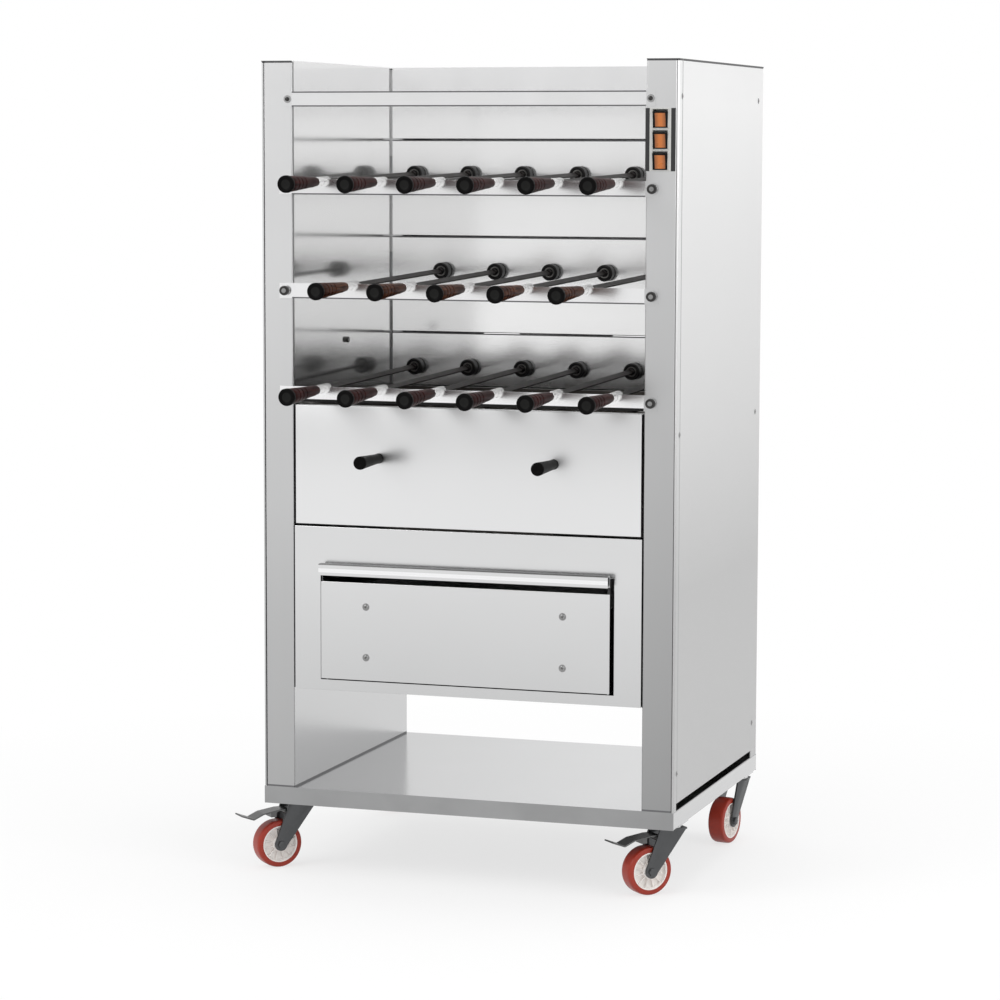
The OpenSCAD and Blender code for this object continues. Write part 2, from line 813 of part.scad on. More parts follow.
module skewer() {
    knob_s = -handle_reach;
    blade_end = hub_s - 4;
    union() {
        color("saddlebrown") rotate([-90, 0, 0]) rotate_extrude() handle_outline(knob_s);
        color("silver") {
            translate([0, ferrule_front_s, 0]) bar_back(ferrule_d / 2, ferrule_rear_s - ferrule_front_s);
            rotate([0, blade_turn, 0]) {
                translate([0, ferrule_rear_s - 1, 0]) backwards(0, blade_end - ferrule_rear_s + 1)
                    square([blade_w, blade_t], center = true);
                translate([0, blade_end - 1, 0]) backwards(0, tang_l + 5)
                    square(tang_w, center = true);
            }
        }
    }
}

// Half outline of the handle: ringed knob with a dished end, and a turned body that narrows to the ferrule
module handle_outline(start) {
    knob_r = knob_d / 2;
    body_r = knob_r - 1;
    waist_r = body_r * 0.86;
    neck_r = ferrule_d / 2;
    body_s = start + knob_l;
    groove = 0.8;
    polygon([
        [0, start + 1.5], [knob_r * 0.55, start + 1.5], [knob_r * 0.7, start], [knob_r - 1.5, start],
        [knob_r, start + 1.5], [knob_r, body_s - 1.5], [knob_r - 1.5, body_s], [body_r - groove, body_s],
        [body_r, body_s + 2], [body_r - 0.6, body_s + 22], [body_r - 0.6 - groove, body_s + 23.5],
        [body_r - 0.8, body_s + 25], [waist_r, body_s + 44], [waist_r - groove, body_s + 45.5],
        [waist_r, body_s + 47], [waist_r - 0.6, body_s + 66], [neck_r + 2, body_s + 100],
        [neck_r, ferrule_front_s - 1], [neck_r, ferrule_front_s], [0, ferrule_front_s]
    ]);
}

// ---- Drawer and heater cover ----

module drawer() {
    half_t = sheet_t / 2;
    face_d = -drawer_proud + half_t;
    slot_half_w = drawer_w / 2 - pull_strip_w;
    middle_line = [
        [face_d, drawer_z], [face_d, pull_top - half_t], [-pull_proud + half_t, pull_top - half_t],
        [-pull_proud + half_t, pull_top - pull_lip]
    ];
    color("gainsboro") from_front() union() {
        difference() {
            across(drawer_w) bent_sheet(middle_line, sheet_t);
            // Finger slot under the hooded pull
            span([-slot_half_w, -drawer_proud - 1, drawer_front_top],
                [slot_half_w, -drawer_proud + sheet_t + 1, pull_top - pull_web]);
        }
        tray(face_d);
    }
}

// Open tray behind the drawer's front
module tray(start) {
    high = drawer_z + tray_wall_h;
    difference() {
        span([-tray_half_w, start, drawer_z], [tray_half_w, drawer_l, high]);
        span([-tray_half_w + sheet_t, start + 1.5 * sheet_t, drawer_z + sheet_t],
            [tray_half_w - sheet_t, drawer_l - sheet_t, high + 1]);
    }
}

module heater_cover() {
    half_l = half_chamber - cover_gap;
    color("gainsboro") from_front() union() {
        difference() {
            span([-half_l, 0, cover_z], [half_l, cover_pan_d, cover_top]);
            span([-half_l + sheet_t, sheet_t, cover_z + sheet_t],
                [half_l - sheet_t, cover_pan_d + 1, cover_top - sheet_t]);
        }
        for (side = [-1, 1]) translate([side * grip_spacing / 2, 0, cover_z + cover_h * 0.57]) cover_grip();
    }
}

// Tapered grip with a rounded end
module cover_grip() {
    round_r = 2;
    color("black") rotate([90, 0, 0]) rotate_extrude() union() {
        polygon([
            [0, -sheet_t], [grip_root_r + 3, -sheet_t], [grip_root_r + 3, 2], [grip_root_r, 3],
            [grip_tip_r - 0.4, grip_l - 10], [grip_tip_r, grip_l - round_r],
            [grip_tip_r - round_r, grip_l], [0, grip_l]
        ]);
        translate([grip_tip_r - round_r, grip_l - round_r]) intersection() {
            circle(r = round_r);
            square(round_r);
        }
    }
}

// ---- Switches ----

function switch_height(k) = switch_z + (1 - k) * switch_pitch;

module switch_plate() {
    half = switch_plate_size / 2;
    hole = bezel_half - bezel_wall;
    color("whitesmoke") from_front() difference() {
        union() {
            span([switch_x - half[0], -switch_plate_t, switch_z - half[1]],
                [switch_x + half[0], 0, switch_z + half[1]]);
            for (k = [0 : 2]) at_switch(k)
                span([-bezel_half[0], -bezel_proud, -bezel_half[1]],
                    [bezel_half[0], switch_body_l, bezel_half[1]]);
        }
        for (k = [0 : 2]) at_switch(k) difference() {
            span([-hole[0], -bezel_proud - 1, -hole[1]], [hole[0], switch_body_l - bezel_wall[0], hole[1]]);
            translate([0, rocker_pivot_d, 0]) bar_across(rocker_pin_r, 2 * bezel_half[0]);
        }
    }
}

module at_switch(k) {
    translate([switch_x, 0, switch_height(k)]) children();
}

// A round bar that runs across the width, centred
module bar_across(radius, length) {
    rotate([0, 90, 0]) cylinder(r = radius, h = length, center = true);
}

// Rocker with its lower end pressed in, on the pin inside its switch body
module rocker_switch(k) {
    face = -rocker_proud - rocker_pivot_d;
    color("darkorange") from_front() at_switch(k) translate([0, rocker_pivot_d, 0])
        rotate([rocker_tilt, 0, 0]) difference() {
            across(2 * rocker_half[0]) polygon([
                [face, rocker_half[1]], [face + 1, 0], [face, -rocker_half[1]],
                [0, -rocker_half[1] + 3], [rocker_pivot_d, 0], [0, rocker_half[1] - 3]
            ]);
            bar_across(rocker_pin_r + running_fit, 3 * rocker_half[0]);
        }
}

// ---- Castors ----

// Castor frame: X along the trail, Y along the axle, Z up from the floor
module castor_frame(corner) {
    from_front() at_castor(corner) rotate([0, 0, corner[3]]) children();
}

// Outline of one fork leg, seen along the axle
module leg_outline() {
    union() {
        polygon([
            [-fork_half_top, fork_top_z], [fork_half_top, fork_top_z],
            [castor_trail + axle_boss_r - 0.5, axle_z + 4], [castor_trail - axle_boss_r + 0.5, axle_z - 3]
        ]);
        translate([castor_trail, axle_z]) circle(r = axle_boss_r);
    }
}

module castor_fork(corner) {
    inside = wheel_w / 2 + leg_gap;
    outside = inside + leg_t;
    has_brake = corner[2] < 0;
    color("dimgray") castor_frame(corner) difference() {
        union() {
            for (y = [-outside, inside]) translate([0, y + leg_t, 0]) rotate([90, 0, 0])
                linear_extrude(leg_t) leg_outline();
            span([-fork_half_top, -outside, fork_top_z - fork_top_t], [fork_half_top, outside, fork_top_z]);
                translate([0, 0, fork_top_z - fork_top_t]) cylinder(r = race_r + 1, h = fork_top_t);
            axle(outside);
            if (has_brake) translate([brake_pivot[0], -outside, brake_pivot[1]])
                bar_back(brake_pin_r, 2 * outside);
        }
        translate([0, 0, fork_top_z - fork_top_t - 1])
            cylinder(r = kingpin_r + running_fit, h = fork_top_t + 3);
    }
}

// Axle bolt with its head and nut
module axle(outside) {
    translate([castor_trail, -outside, axle_z]) bar_back(axle_r, 2 * outside);
    for (y = [-outside - axle_head[1], outside]) translate([castor_trail, y, axle_z])
        rotate([-90, 0, 0]) cylinder(r = axle_head[0], h = axle_head[1], $fn = 6);
}

module castor_wheel(corner) {
    castor_frame(corner) translate([castor_trail, 0, axle_z]) rotate([90, 0, 0]) {
        color("orangered") rotate_extrude() tread_outline();
        color("ivory") rotate_extrude() wheel_hub_outline();
    }
}

module tread_outline() {
    outer = wheel_d / 2;
    half = wheel_w / 2;
    middle = [
        [outer - tread_t, -half], [outer, -half], [outer, half], [outer - tread_t, half]
    ];
    polygon(rounded(middle, tread_round, 5));
}

module wheel_hub_outline() {
    rim_r = wheel_d / 2 - tread_t;
    half = wheel_w / 2;
    web = half - hub_web_dish;
    polygon([
        [axle_r + running_fit, -half], [hub_core_r - 2, -half], [hub_core_r, -web],
        [rim_r - hub_bead - 2, -web], [rim_r - hub_bead, -half], [rim_r, -half],
        [rim_r, half], [rim_r - hub_bead, half], [rim_r - hub_bead - 2, web],
        [hub_core_r, web], [hub_core_r - 2, half], [axle_r + running_fit, half]
    ]);
}

// Pedal on its barrel, bent up at the toe
module castor_brake(corner) {
    pivot = brake_pivot;
    middle_line = [
        pivot + [0, brake_barrel_r - 1.6], pivot + [14, brake_barrel_r - 1.6],
        pivot + [44, brake_barrel_r - 6], [brake_reach - 22, pivot[1] - 9], [brake_reach, pivot[1] - 1]
    ];
    color("darkgray") castor_frame(corner) difference() {
        union() {
            translate([0, brake_w / 2, 0]) rotate([90, 0, 0]) linear_extrude(brake_w)
                bent_sheet(middle_line, brake_t, 4);
            translate([pivot[0], -brake_w / 2, pivot[1]]) bar_back(brake_barrel_r, brake_w);
            span([pivot[0] + 20, -brake_w / 2 + 2, pivot[1] - 8],
                [pivot[0] + 30, brake_w / 2 - 2, pivot[1] + 2]);
        }
        translate([pivot[0], -brake_w, pivot[1]]) bar_back(brake_pin_r + running_fit, 2 * brake_w);
    }
}

// ---- Assembly ----

base_frame();
side_columns();
side_panels();
back_wall();
rear_cover();
skewer_rails();
front_panel();
firebox();
heating_elements();
drive_unit();
switch_plate();
drawer();
heater_cover();
for (k = [0 : len(SWITCHES) - 1])
    rocker_switch(k);
for (corner = CORNERS) {
    castor_fork(corner);
    castor_wheel(corner);
    if (corner[2] < 0)
        castor_brake(corner);
}
for (row = [0 : len(ROWS) - 1]) for (i = [1 : ROWS[row][1]]) {
    row_frame(row) translate([skewer_x(row, i), 0, 0]) spindle(i == 1);
    row_frame(row) translate([skewer_x(row, i), 0, 0]) skewer();
}
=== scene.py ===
"""Dresses the upright skewer grill: sheet steel, turned handles, castors, switches and a plain studio."""

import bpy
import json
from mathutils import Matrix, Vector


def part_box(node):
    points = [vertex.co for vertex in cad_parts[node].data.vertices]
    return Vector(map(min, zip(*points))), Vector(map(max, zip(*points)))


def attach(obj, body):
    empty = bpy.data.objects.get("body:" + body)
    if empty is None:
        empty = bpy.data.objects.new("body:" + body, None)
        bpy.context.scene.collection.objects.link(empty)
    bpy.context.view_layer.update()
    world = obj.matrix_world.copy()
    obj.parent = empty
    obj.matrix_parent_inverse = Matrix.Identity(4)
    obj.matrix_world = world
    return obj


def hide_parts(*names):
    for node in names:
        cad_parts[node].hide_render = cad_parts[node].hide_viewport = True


bl_info = {
    "name": "Upright skewer grill",
    "version": (1, 0, 0),
    "blender": (4, 5, 0),
    "location": "3D View > Sidebar > Grill",
    "description": "Finishes and fine pieces for an upright electric skewer grill",
    "category": "Add Mesh",
}

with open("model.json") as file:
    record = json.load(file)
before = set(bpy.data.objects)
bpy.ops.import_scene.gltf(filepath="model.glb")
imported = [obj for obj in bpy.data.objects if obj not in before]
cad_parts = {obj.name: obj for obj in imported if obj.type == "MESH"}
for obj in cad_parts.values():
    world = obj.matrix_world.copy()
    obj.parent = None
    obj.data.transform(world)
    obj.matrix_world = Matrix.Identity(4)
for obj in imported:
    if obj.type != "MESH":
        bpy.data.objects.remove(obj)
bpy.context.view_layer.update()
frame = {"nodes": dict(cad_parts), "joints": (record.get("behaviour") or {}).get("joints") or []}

import contextlib
import json
import math

import bmesh
import bpy
from bpy.props import FloatProperty, FloatVectorProperty, IntProperty, PointerProperty
from mathutils import Matrix, Vector

# What the frame gives
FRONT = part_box("side_columns")[0].y
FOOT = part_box("side_columns")[0].z
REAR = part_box("side_columns")[1].y
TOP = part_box("side_panels")[1].z
HALF_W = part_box("side_panels")[1].x
JOINT_OF = {joint["child"]: joint for joint in frame["joints"]}

# What repeats
ROWS = ("bottom", "middle", "top")
CORNERS = ("front_left", "front_right", "rear_left", "rear_right")
SIDES = (("left", -1), ("right", 1))

# Sizes of the solids that no box gives
CHAMBER = 0.300  # half the chamber's width
OUTSIDE = 0.340  # half the width beyond which a face is on the cabinet's outside
BAY_TOP = 0.5  # between the open bay's walls and the chamber's
BAR_DROP = 0.050  # from the top down to the top bar
BAR_HEIGHT = 0.0245
BEARING_REACH = 0.475  # along a skewer, from the front plane to its spindle's joint
RAIL_BELOW_AXIS = 0.0215  # from a skewer's axis at the front plane down to its rail's lower edge
SEAM_ABOVE_RAIL = 0.0915  # from there up to the back wall's seam
LEDGE = 0.157  # from the drawer's lower edge up to its slot
GLAND_X, GLAND_Z, GLAND_RADIUS = -0.240, 0.375, 0.0118

# Lines and strips of sheet with a finish of their own; the rail, seam, fold and foot lines are painted shade
RAIL_SHADE_LINE = 0.0022
ROOF_LINE = 0.0034
SEAM_SHADE_LINE = 0.0032
FOLD_SHADE_LINE = 0.003
FOOT_SHADE_LINE = 0.003

# Places of the grips and of the scene's own screws
GRIP_X, GRIP_SHARE = 0.15, 0.57  # from the middle, and share of the cover's height
DRAWER_SCREW_X, DRAWER_SCREW_HEIGHTS = 0.169, (("upper", 0.458), ("lower", 0.374))
SIDE_SCREW_DEPTHS, SIDE_SCREW_HEIGHTS = (("front", 0.017), ("rear", 0.517)), (0.208, 0.755, 1.290)
REAR_SCREW_X, REAR_SCREW_LOW, REAR_SCREW_STEP = 0.325, 0.35, 0.235
CHAMBER_SCREW_Y, CHAMBER_SCREW_Z = -0.0326, 0.8817

MERGE = 0.00001  # vertices closer than this are one
BLADE_TURN = math.radians(35)
AWAY = Matrix.Rotation(-math.pi / 2, 4, "X")
TOWARDS = Matrix.Rotation(math.pi / 2, 4, "X")
AXES = {"x": Vector((1, 0, 0)), "y": Vector((0, 1, 0)), "z": Vector((0, 0, 1))}

groups = {}
finishes = {}


# ---- Settings ----


def length(name, description, default, low, high):
    """A small length for the sidebar"""
    return FloatProperty(
        name=name, description=description, default=default, min=low, max=high, unit="LENGTH", precision=5)


def colour(name, description, default):
    """A colour for the sidebar"""
    return FloatVectorProperty(
        name=name, description=description, default=default, subtype="COLOR", size=3, min=0, max=1)


class GrillSizes(bpy.types.PropertyGroup):
    """Small sizes that the looks need beside the solids' own"""

    edge_break: length("Edge break", "Width of the softened edge on bent sheet", 0.0004, 0.0001, 0.001)
    groove_depth: length("Groove depth", "Depth of the rings turned into a handle", 0.0009, 0.0002, 0.002)
    screw_head: length("Screw head", "Radius of the side panels' screws", 0.0035, 0.002, 0.008)
    ribs: IntProperty(
        name="Wheel ribs", description="Ribs on each side of a castor's hub", default=12, min=4, max=24)


class GrillColours(bpy.types.PropertyGroup):
    """Colours of the finishes"""

    steel: colour("Steel", "Bright stainless sheet", (0.72, 0.722, 0.725))
    chamber: colour("Chamber steel", "Bright stainless of the grill chamber", (0.97, 0.97, 0.97))
    shelf: colour("Shelf steel", "Duller stainless of the base", (0.72, 0.723, 0.728))
    wood_dark: colour("Dark wood", "Darker grain of the handles", (0.010, 0.0022, 0.0022))
    wood_light: colour("Light wood", "Lighter grain of the handles", (0.036, 0.0068, 0.0062))
    wood_brown: colour("Brown wood", "Lighter grain of the middle row's handles", (0.095, 0.034, 0.016))
    black: colour("Black plastic", "Knobs and grips", (0.0032, 0.003, 0.003))
    rocker: colour("Rocker", "Rockers of the switches", (0.44, 0.125, 0.018))
    tread: colour("Tread", "Treads of the castor wheels", (0.34, 0.032, 0.016))
    hub: colour("Wheel hub", "Hubs of the castor wheels", (0.90, 0.86, 0.83))


# ---- Modelling ----


def select_only(piece=None):
    """Leaves object mode with just this piece selected"""
    if bpy.context.object and bpy.context.object.mode != "OBJECT":
        bpy.ops.object.mode_set(mode="OBJECT")
    bpy.ops.object.select_all(action="DESELECT")
    if piece is not None:
        piece.select_set(True)
        bpy.context.view_layer.objects.active = piece


@contextlib.contextmanager
def editing(piece):
    """Edit mode on one piece, with all of it selected"""
    select_only(piece)
    bpy.ops.object.mode_set(mode="EDIT")
    bpy.ops.mesh.select_all(action="SELECT")
    yield
    bpy.ops.object.mode_set(mode="OBJECT")


def pick(piece, kind, wanted):
    """In edit mode, selects only the verts, edges or faces that the test wants"""
    bpy.ops.mesh.select_all(action="DESELECT")
    bpy.ops.mesh.select_mode(type={"verts": "VERT", "edges": "EDGE", "faces": "FACE"}[kind])
    mesh = bmesh.from_edit_mesh(piece.data)
    for part in getattr(mesh, kind):
        part.select_set(bool(wanted(part)))
    mesh.select_flush_mode()
    bmesh.update_edit_mesh(piece.data)


def centre(face):
    """Middle of a face"""
    return face.calc_center_median()


def off_axis(place):
    """Distance of a place from the Z axis"""
    return math.hypot(place.x, place.y)


def cut(piece, axis, *places):
    """Divides a piece's faces where planes square to an axis cross them"""
    for place in places:
        with editing(piece):
            bpy.ops.mesh.bisect(plane_co=place * AXES[axis], plane_no=AXES[axis])


def coat(finish, *parts):
    """Gives parts a finish, beside any that they have"""
    for part in parts:
        part.data.materials.append(finishes[finish])
    return parts[0]


def patch(piece, finish, wanted):
    """Gives the faces that the test wants a finish of their own"""
    coat(finish, piece)
    with editing(piece):
        pick(piece, "faces", wanted)
        piece.active_material_index = len(piece.data.materials) - 1
        bpy.ops.object.material_slot_assign()


def without(piece, wanted):
    """Takes away the faces that the test wants, and closes the holes they leave"""
    with editing(piece):
        pick(piece, "faces", wanted)
        bpy.ops.mesh.delete(type="FACE")
        bpy.ops.mesh.select_all(action="SELECT")
        bpy.ops.mesh.fill_holes(sides=0)


def settle(piece):
    """Moves a piece's place into its mesh"""
    select_only(piece)
    bpy.ops.object.transform_apply(location=True, rotation=True, scale=True)
    return piece


def placed(piece, place):
    """Sets a piece at a place, and moves that place into its mesh"""
    piece.matrix_world = place
    return settle(piece)


def finish_with(piece, kind, **settings):
    """Adds a modifier and applies it"""
    select_only(piece)
    modifier = piece.modifiers.new(kind.title(), kind)
    for key, value in settings.items():
        setattr(modifier, key, value)
    bpy.ops.object.modifier_apply(modifier=modifier.name)
    return piece


def smooth(piece, angle=35):
    """Shades a piece smoothly, apart from its corners"""
    select_only(piece)
    bpy.ops.object.shade_smooth_by_angle(angle=math.radians(angle))
    return piece


def turned(name, rings, segments=48, hollow=False):
    """A piece turned about Z: a circle drawn out ring by ring, as (radius, height)"""
    select_only()
    radius, height = rings[0]
    bpy.ops.mesh.primitive_circle_add(
        vertices=segments, radius=radius, fill_type="NOTHING" if hollow else "NGON", location=(0, 0, 0))
    piece = bpy.context.object
    piece.name = name
    extrude = bpy.ops.mesh.extrude_edges_move if hollow else bpy.ops.mesh.extrude_region_move
    with editing(piece):
        bpy.ops.transform.translate(value=(0, 0, height))
        for (r0, z0), (r1, z1) in zip(rings, rings[1:]):
            extrude(TRANSFORM_OT_translate={"value": (0, 0, z1 - z0)})
            bpy.ops.transform.resize(value=(r1 / r0, r1 / r0, 1), center_override=(0, 0, z1))
    with editing(piece):
        bpy.ops.mesh.remove_doubles(threshold=MERGE)
        bpy.ops.mesh.normals_make_consistent(inside=False)
    return smooth(piece)


def sized(radius, height, *rings):
    """Rings given as shares of a radius and a height"""
    return [(radius * r, height * z) for r, z in rings]


def mirrored(*rings):
    """A closed profile from its lower half"""
    return [*rings, *[(r, -z) for r, z in reversed(rings)], rings[0]]


def block(name, low, high, edge=0.0, segments=2):
    """A block between two corners, with softened edges"""
    select_only()
    low, high = Vector(low), Vector(high)
    bpy.ops.mesh.primitive_cube_add(size=1, location=(low + high) / 2)
    piece = bpy.context.object
    piece.name = name
    piece.scale = high - low
    settle(piece)
    if edge:
        with editing(piece):
            bpy.ops.mesh.bevel(offset=edge, segments=segments, affect="EDGES")
    return piece


def copied(source, name):
    """A copy with its own mesh"""
    piece = source.copy()
    piece.data = source.data.copy()
    piece.name = name
    bpy.context.scene.collection.objects.link(piece)
    return piece


def softened(node, name, width=0.0004, segments=2):
    """A copy of a node whose sharp edges are broken, as a bent or pressed sheet's are"""
    piece = copied(frame["nodes"][node], name)
    piece.parent = None
    for key in [key for key in piece.keys() if key.startswith("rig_")]:
        del piece[key]
    piece.data.materials.clear()
    with editing(piece):
        bpy.ops.mesh.remove_doubles(threshold=MERGE)
        bpy.ops.mesh.dissolve_limited(angle_limit=math.radians(0.5))
        bpy.ops.mesh.normals_make_consistent(inside=False)
        if piece.data.has_custom_normals:
            bpy.ops.mesh.customdata_custom_splitnormals_clear()
    return finish_with(piece, "BEVEL", width=width, segments=segments, limit_method="ANGLE",
                       angle_limit=math.radians(40), use_clamp_overlap=True)


def joined(name, *parts):
    """Several parts made one piece"""
    select_only(parts[0])
    for part in parts:
        part.select_set(True)
    bpy.ops.object.join()
    parts[0].name = name
    return parts[0]


def at(x, y, z, turn):
    """A place with a turn"""
    return Matrix.Translation((x, y, z)) @ turn


def dress(piece, body, finish, slot, *nodes):
    """Gives a piece the finish named, if any, and its body, and hides the nodes that it stands for; slot is not
    used
    """
    if finish is not None:
        piece.data.materials.clear()
        coat(finish, piece)
    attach(piece, body)
    if nodes:
        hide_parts(*nodes)
    return piece


def dress_copy(pattern, name, place, body, slot, *nodes, finish=None):
    """Sets a copy of a pattern at a place, and dresses it"""
    return dress(placed(copied(pattern, name), place), body, finish, slot, *nodes)


def retire(*patterns):
    """Removes the patterns that the copies were made from"""
    for pattern in patterns:
        bpy.data.objects.remove(pattern)


def paint(node, finish):
    """Gives a CAD node its finish"""
    frame["nodes"][node].data.materials.clear()
    coat(finish, frame["nodes"][node])


# ---- Finishes ----

FLOAT, VECTOR, COLOUR = "NodeSocketFloat", "NodeSocketVector", "NodeSocketColor"

# The Mix node has a set of sockets for each kind of data: these are the ones for colours
MIX_A, MIX_B, MIXED = 6, 7, 2


def new_group(name, inputs, outputs):
    """A shader node group that takes a Vector and named values, and gives named outputs"""
    tree = bpy.data.node_groups.new(name, "ShaderNodeTree")
    tree.interface.new_socket(name="Vector", in_out="INPUT", socket_type=VECTOR)
    for label, default in inputs.items():
        kind = FLOAT if isinstance(default, float) else VECTOR if len(default) == 3 else COLOUR
        tree.interface.new_socket(name=label, in_out="INPUT", socket_type=kind).default_value = default
    for label in outputs:
        kind = COLOUR if label == "Color" else FLOAT
        tree.interface.new_socket(name=label, in_out="OUTPUT", socket_type=kind)
    return tree, tree.nodes.new("NodeGroupInput"), tree.nodes.new("NodeGroupOutput")


def add(tree, kind, values=(), **settings):
    """A shader node with its settings, and the values of the inputs that have one"""
    node = tree.nodes.new("ShaderNode" + kind)
    for key, value in settings.items():
        setattr(node, key, value)
    for key, value in dict(values).items():
        node.inputs[key].default_value = value
    return node


def link(*links):
    """Links one node's output to another's input, for each (node, output, node, input)"""
    for source, output, target, entry in links:
        source.id_data.links.new(source.outputs[output], target.inputs[entry])


def rolled_sheet_group():
    """Fine rolling lines, a slow cloudiness and faint wiping marks"""
    tree, start, end = new_group(
        "Rolled sheet", {"Lines": (60, 60, 900), "Roughness": 0.25, "Spread": 0.08, "Cloud scale": 3.0},
        ("Roughness", "Height", "Clouds"))
    stretch = add(tree, "VectorMath", operation="MULTIPLY")
    lines = add(tree, "TexNoise", {"Scale": 1.0, "Detail": 4.0})
    clouds = add(tree, "TexNoise", {"Detail": 3.0})
    centred = add(tree, "Math", {1: 0.5}, operation="SUBTRACT")
    both = add(tree, "Math", operation="ADD")
    spread = add(tree, "Math", operation="MULTIPLY_ADD")
    link((start, "Vector", stretch, 0), (start, "Lines", stretch, 1), (stretch, 0, lines, "Vector"),
         (start, "Vector", clouds, "Vector"), (start, "Cloud scale", clouds, "Scale"),
         (clouds, "Fac", centred, 0), (lines, "Fac", both, 0), (centred, 0, both, 1), (both, 0, spread, 0),
         (start, "Spread", spread, 1), (start, "Roughness", spread, 2), (spread, 0, end, "Roughness"),
         (lines, "Fac", end, "Height"), (clouds, "Fac", end, "Clouds"))
    return tree


def moulded_group():
    """Fine moulded grain with a slow change of gloss"""
    tree, start, end = new_group(
        "Moulded surface", {"Grain": 1800.0, "Roughness": 0.4, "Spread": 0.15}, ("Roughness", "Height", "Shade"))
    grain = add(tree, "TexNoise", {"Detail": 2.0})
    slow = add(tree, "TexNoise", {"Scale": 60.0})
    spread = add(tree, "Math", operation="MULTIPLY_ADD")
    link((start, "Vector", grain, "Vector"), (start, "Grain", grain, "Scale"), (start, "Vector", slow, "Vector"),
         (slow, "Fac", spread, 0), (start, "Spread", spread, 1), (start, "Roughness", spread, 2),
         (spread, 0, end, "Roughness"), (grain, "Fac", end, "Height"), (slow, "Fac", end, "Shade"))
    return tree


def wood_group():
    """Straight grain that runs along the skewer, with darker pores"""
    tree, start, end = new_group(
        "Turned wood", {"Dark": (0.05, 0.02, 0.01, 1), "Light": (0.2, 0.07, 0.04, 1)},
        ("Color", "Roughness", "Height"))
    stretch = add(tree, "VectorMath", {1: (420, 26, 420)}, operation="MULTIPLY")
    grain = add(tree, "TexNoise", {"Scale": 1.0, "Detail": 6.0, "Distortion": 0.4})
    tone = add(tree, "TexNoise", {"Scale": 11.0})
    contrast = add(tree, "MapRange", {"From Min": 0.36, "From Max": 0.66})
    both = add(tree, "Math", operation="MULTIPLY")
    lift = add(tree, "Math", {1: 1.7, 2: 0.05}, operation="MULTIPLY_ADD", use_clamp=True)
    tint = add(tree, "Mix", data_type="RGBA")
    gloss = add(tree, "MapRange", {"To Min": 0.42, "To Max": 0.26})
    link((start, "Vector", stretch, 0), (stretch, 0, grain, "Vector"), (start, "Vector", tone, "Vector"),
         (grain, "Fac", contrast, "Value"), (contrast, 0, both, 0), (tone, "Fac", both, 1), (both, 0, lift, 0),
         (lift, 0, tint, "Factor"), (start, "Dark", tint, MIX_A), (start, "Light", tint, MIX_B),
         (tint, MIXED, end, "Color"), (grain, "Fac", gloss, "Value"), (gloss, 0, end, "Roughness"),
         (grain, "Fac", end, "Height"))
    return tree


def painted_shade_group():
    """Painted shade: a value rising along one direction from a low value to 1, which darkens a base colour"""
    tree, start, end = new_group(
        "Slow fall", {"Direction": (0, 0, 1), "From": 0.0, "To": 1.0, "Low": 0.5}, ("Value",))
    along = add(tree, "VectorMath", operation="DOT_PRODUCT")
    ramp = add(tree, "MapRange")
    link((start, "Vector", along, 0), (start, "Direction", along, 1), (along, "Value", ramp, "Value"),
         (start, "From", ramp, "From Min"), (start, "To", ramp, "From Max"), (start, "Low", ramp, "To Min"),
         (ramp, 0, end, "Value"))
    return tree


def bare_material(name, base, metallic, roughness, specular=0.5):
    """A material with its Principled shader set, and its Object coordinates"""
    made = bpy.data.materials.new(name)
    made.use_nodes = True
    shader = made.node_tree.nodes["Principled BSDF"]
    shader.inputs["Base Color"].default_value = (*base, 1)
    shader.inputs["Metallic"].default_value = metallic
    shader.inputs["Roughness"].default_value = roughness
    shader.inputs["Specular IOR Level"].default_value = specular
    return made, made.node_tree, shader, add(made.node_tree, "TexCoord")


def shaded(base, factor):
    """A colour made darker or lighter"""
    return tuple(min(1, c * factor) for c in base)


def mixed(tree, first, second):
    """A mix of two colours"""
    return add(tree, "Mix", data_type="RGBA", values={MIX_A: (*first, 1), MIX_B: (*second, 1)})


def bump(tree, shader, group, strength, distance=0.0002):
    """Feeds a group's height to the shader's normal"""
    node = add(tree, "Bump", {"Strength": strength, "Distance": distance})
    link((group, "Height", node, "Height"), (node, "Normal", shader, "Normal"))


def steel(name, base, roughness=0.25, spread=0.08, lines=(60, 60, 900), cloud_scale=3.0, cloudy=0.1,
          relief=0.02, metallic=1.0, fall=None):
    """Stainless sheet: rolled lines, clouds of slightly duller metal; the last argument paints shade, darkening
    the base colour along a direction, given as direction, from, to, low
    """
    made, tree, shader, place = bare_material(
        name, base, metallic, roughness, specular=0.15 if metallic == 0 else 0.5)
    group = add(tree, "Group", node_tree=groups["sheet"], values={
        "Lines": lines, "Roughness": roughness - spread / 2, "Spread": spread, "Cloud scale": cloud_scale})
    tint = mixed(tree, shaded(base, 1 - cloudy), shaded(base, 1 + cloudy))
    link((place, "Object", group, "Vector"), (group, "Roughness", shader, "Roughness"),
         (group, "Clouds", tint, "Factor"))
    if fall is None:
        link((tint, MIXED, shader, "Base Color"))
    else:
        # painted shade: the base colour is scaled down by the ramp along the given direction
        slow = add(tree, "Group", zip(("Direction", "From", "To", "Low"), fall), node_tree=groups["fall"])
        shade = add(tree, "VectorMath", operation="SCALE")
        link((place, "Object", slow, "Vector"), (tint, MIXED, shade, 0), (slow, "Value", shade, "Scale"),
             (shade, 0, shader, "Base Color"))
    bump(tree, shader, group, relief)
    return made


def moulded(tree, shader, place, relief, roughness=0.4, grain=1800.0):
    """Gives a shader the moulded surface"""
    group = add(tree, "Group", {"Grain": grain, "Roughness": roughness}, node_tree=groups["moulded"])
    link((place, "Object", group, "Vector"), (group, "Roughness", shader, "Roughness"))
    bump(tree, shader, group, relief)
    return group


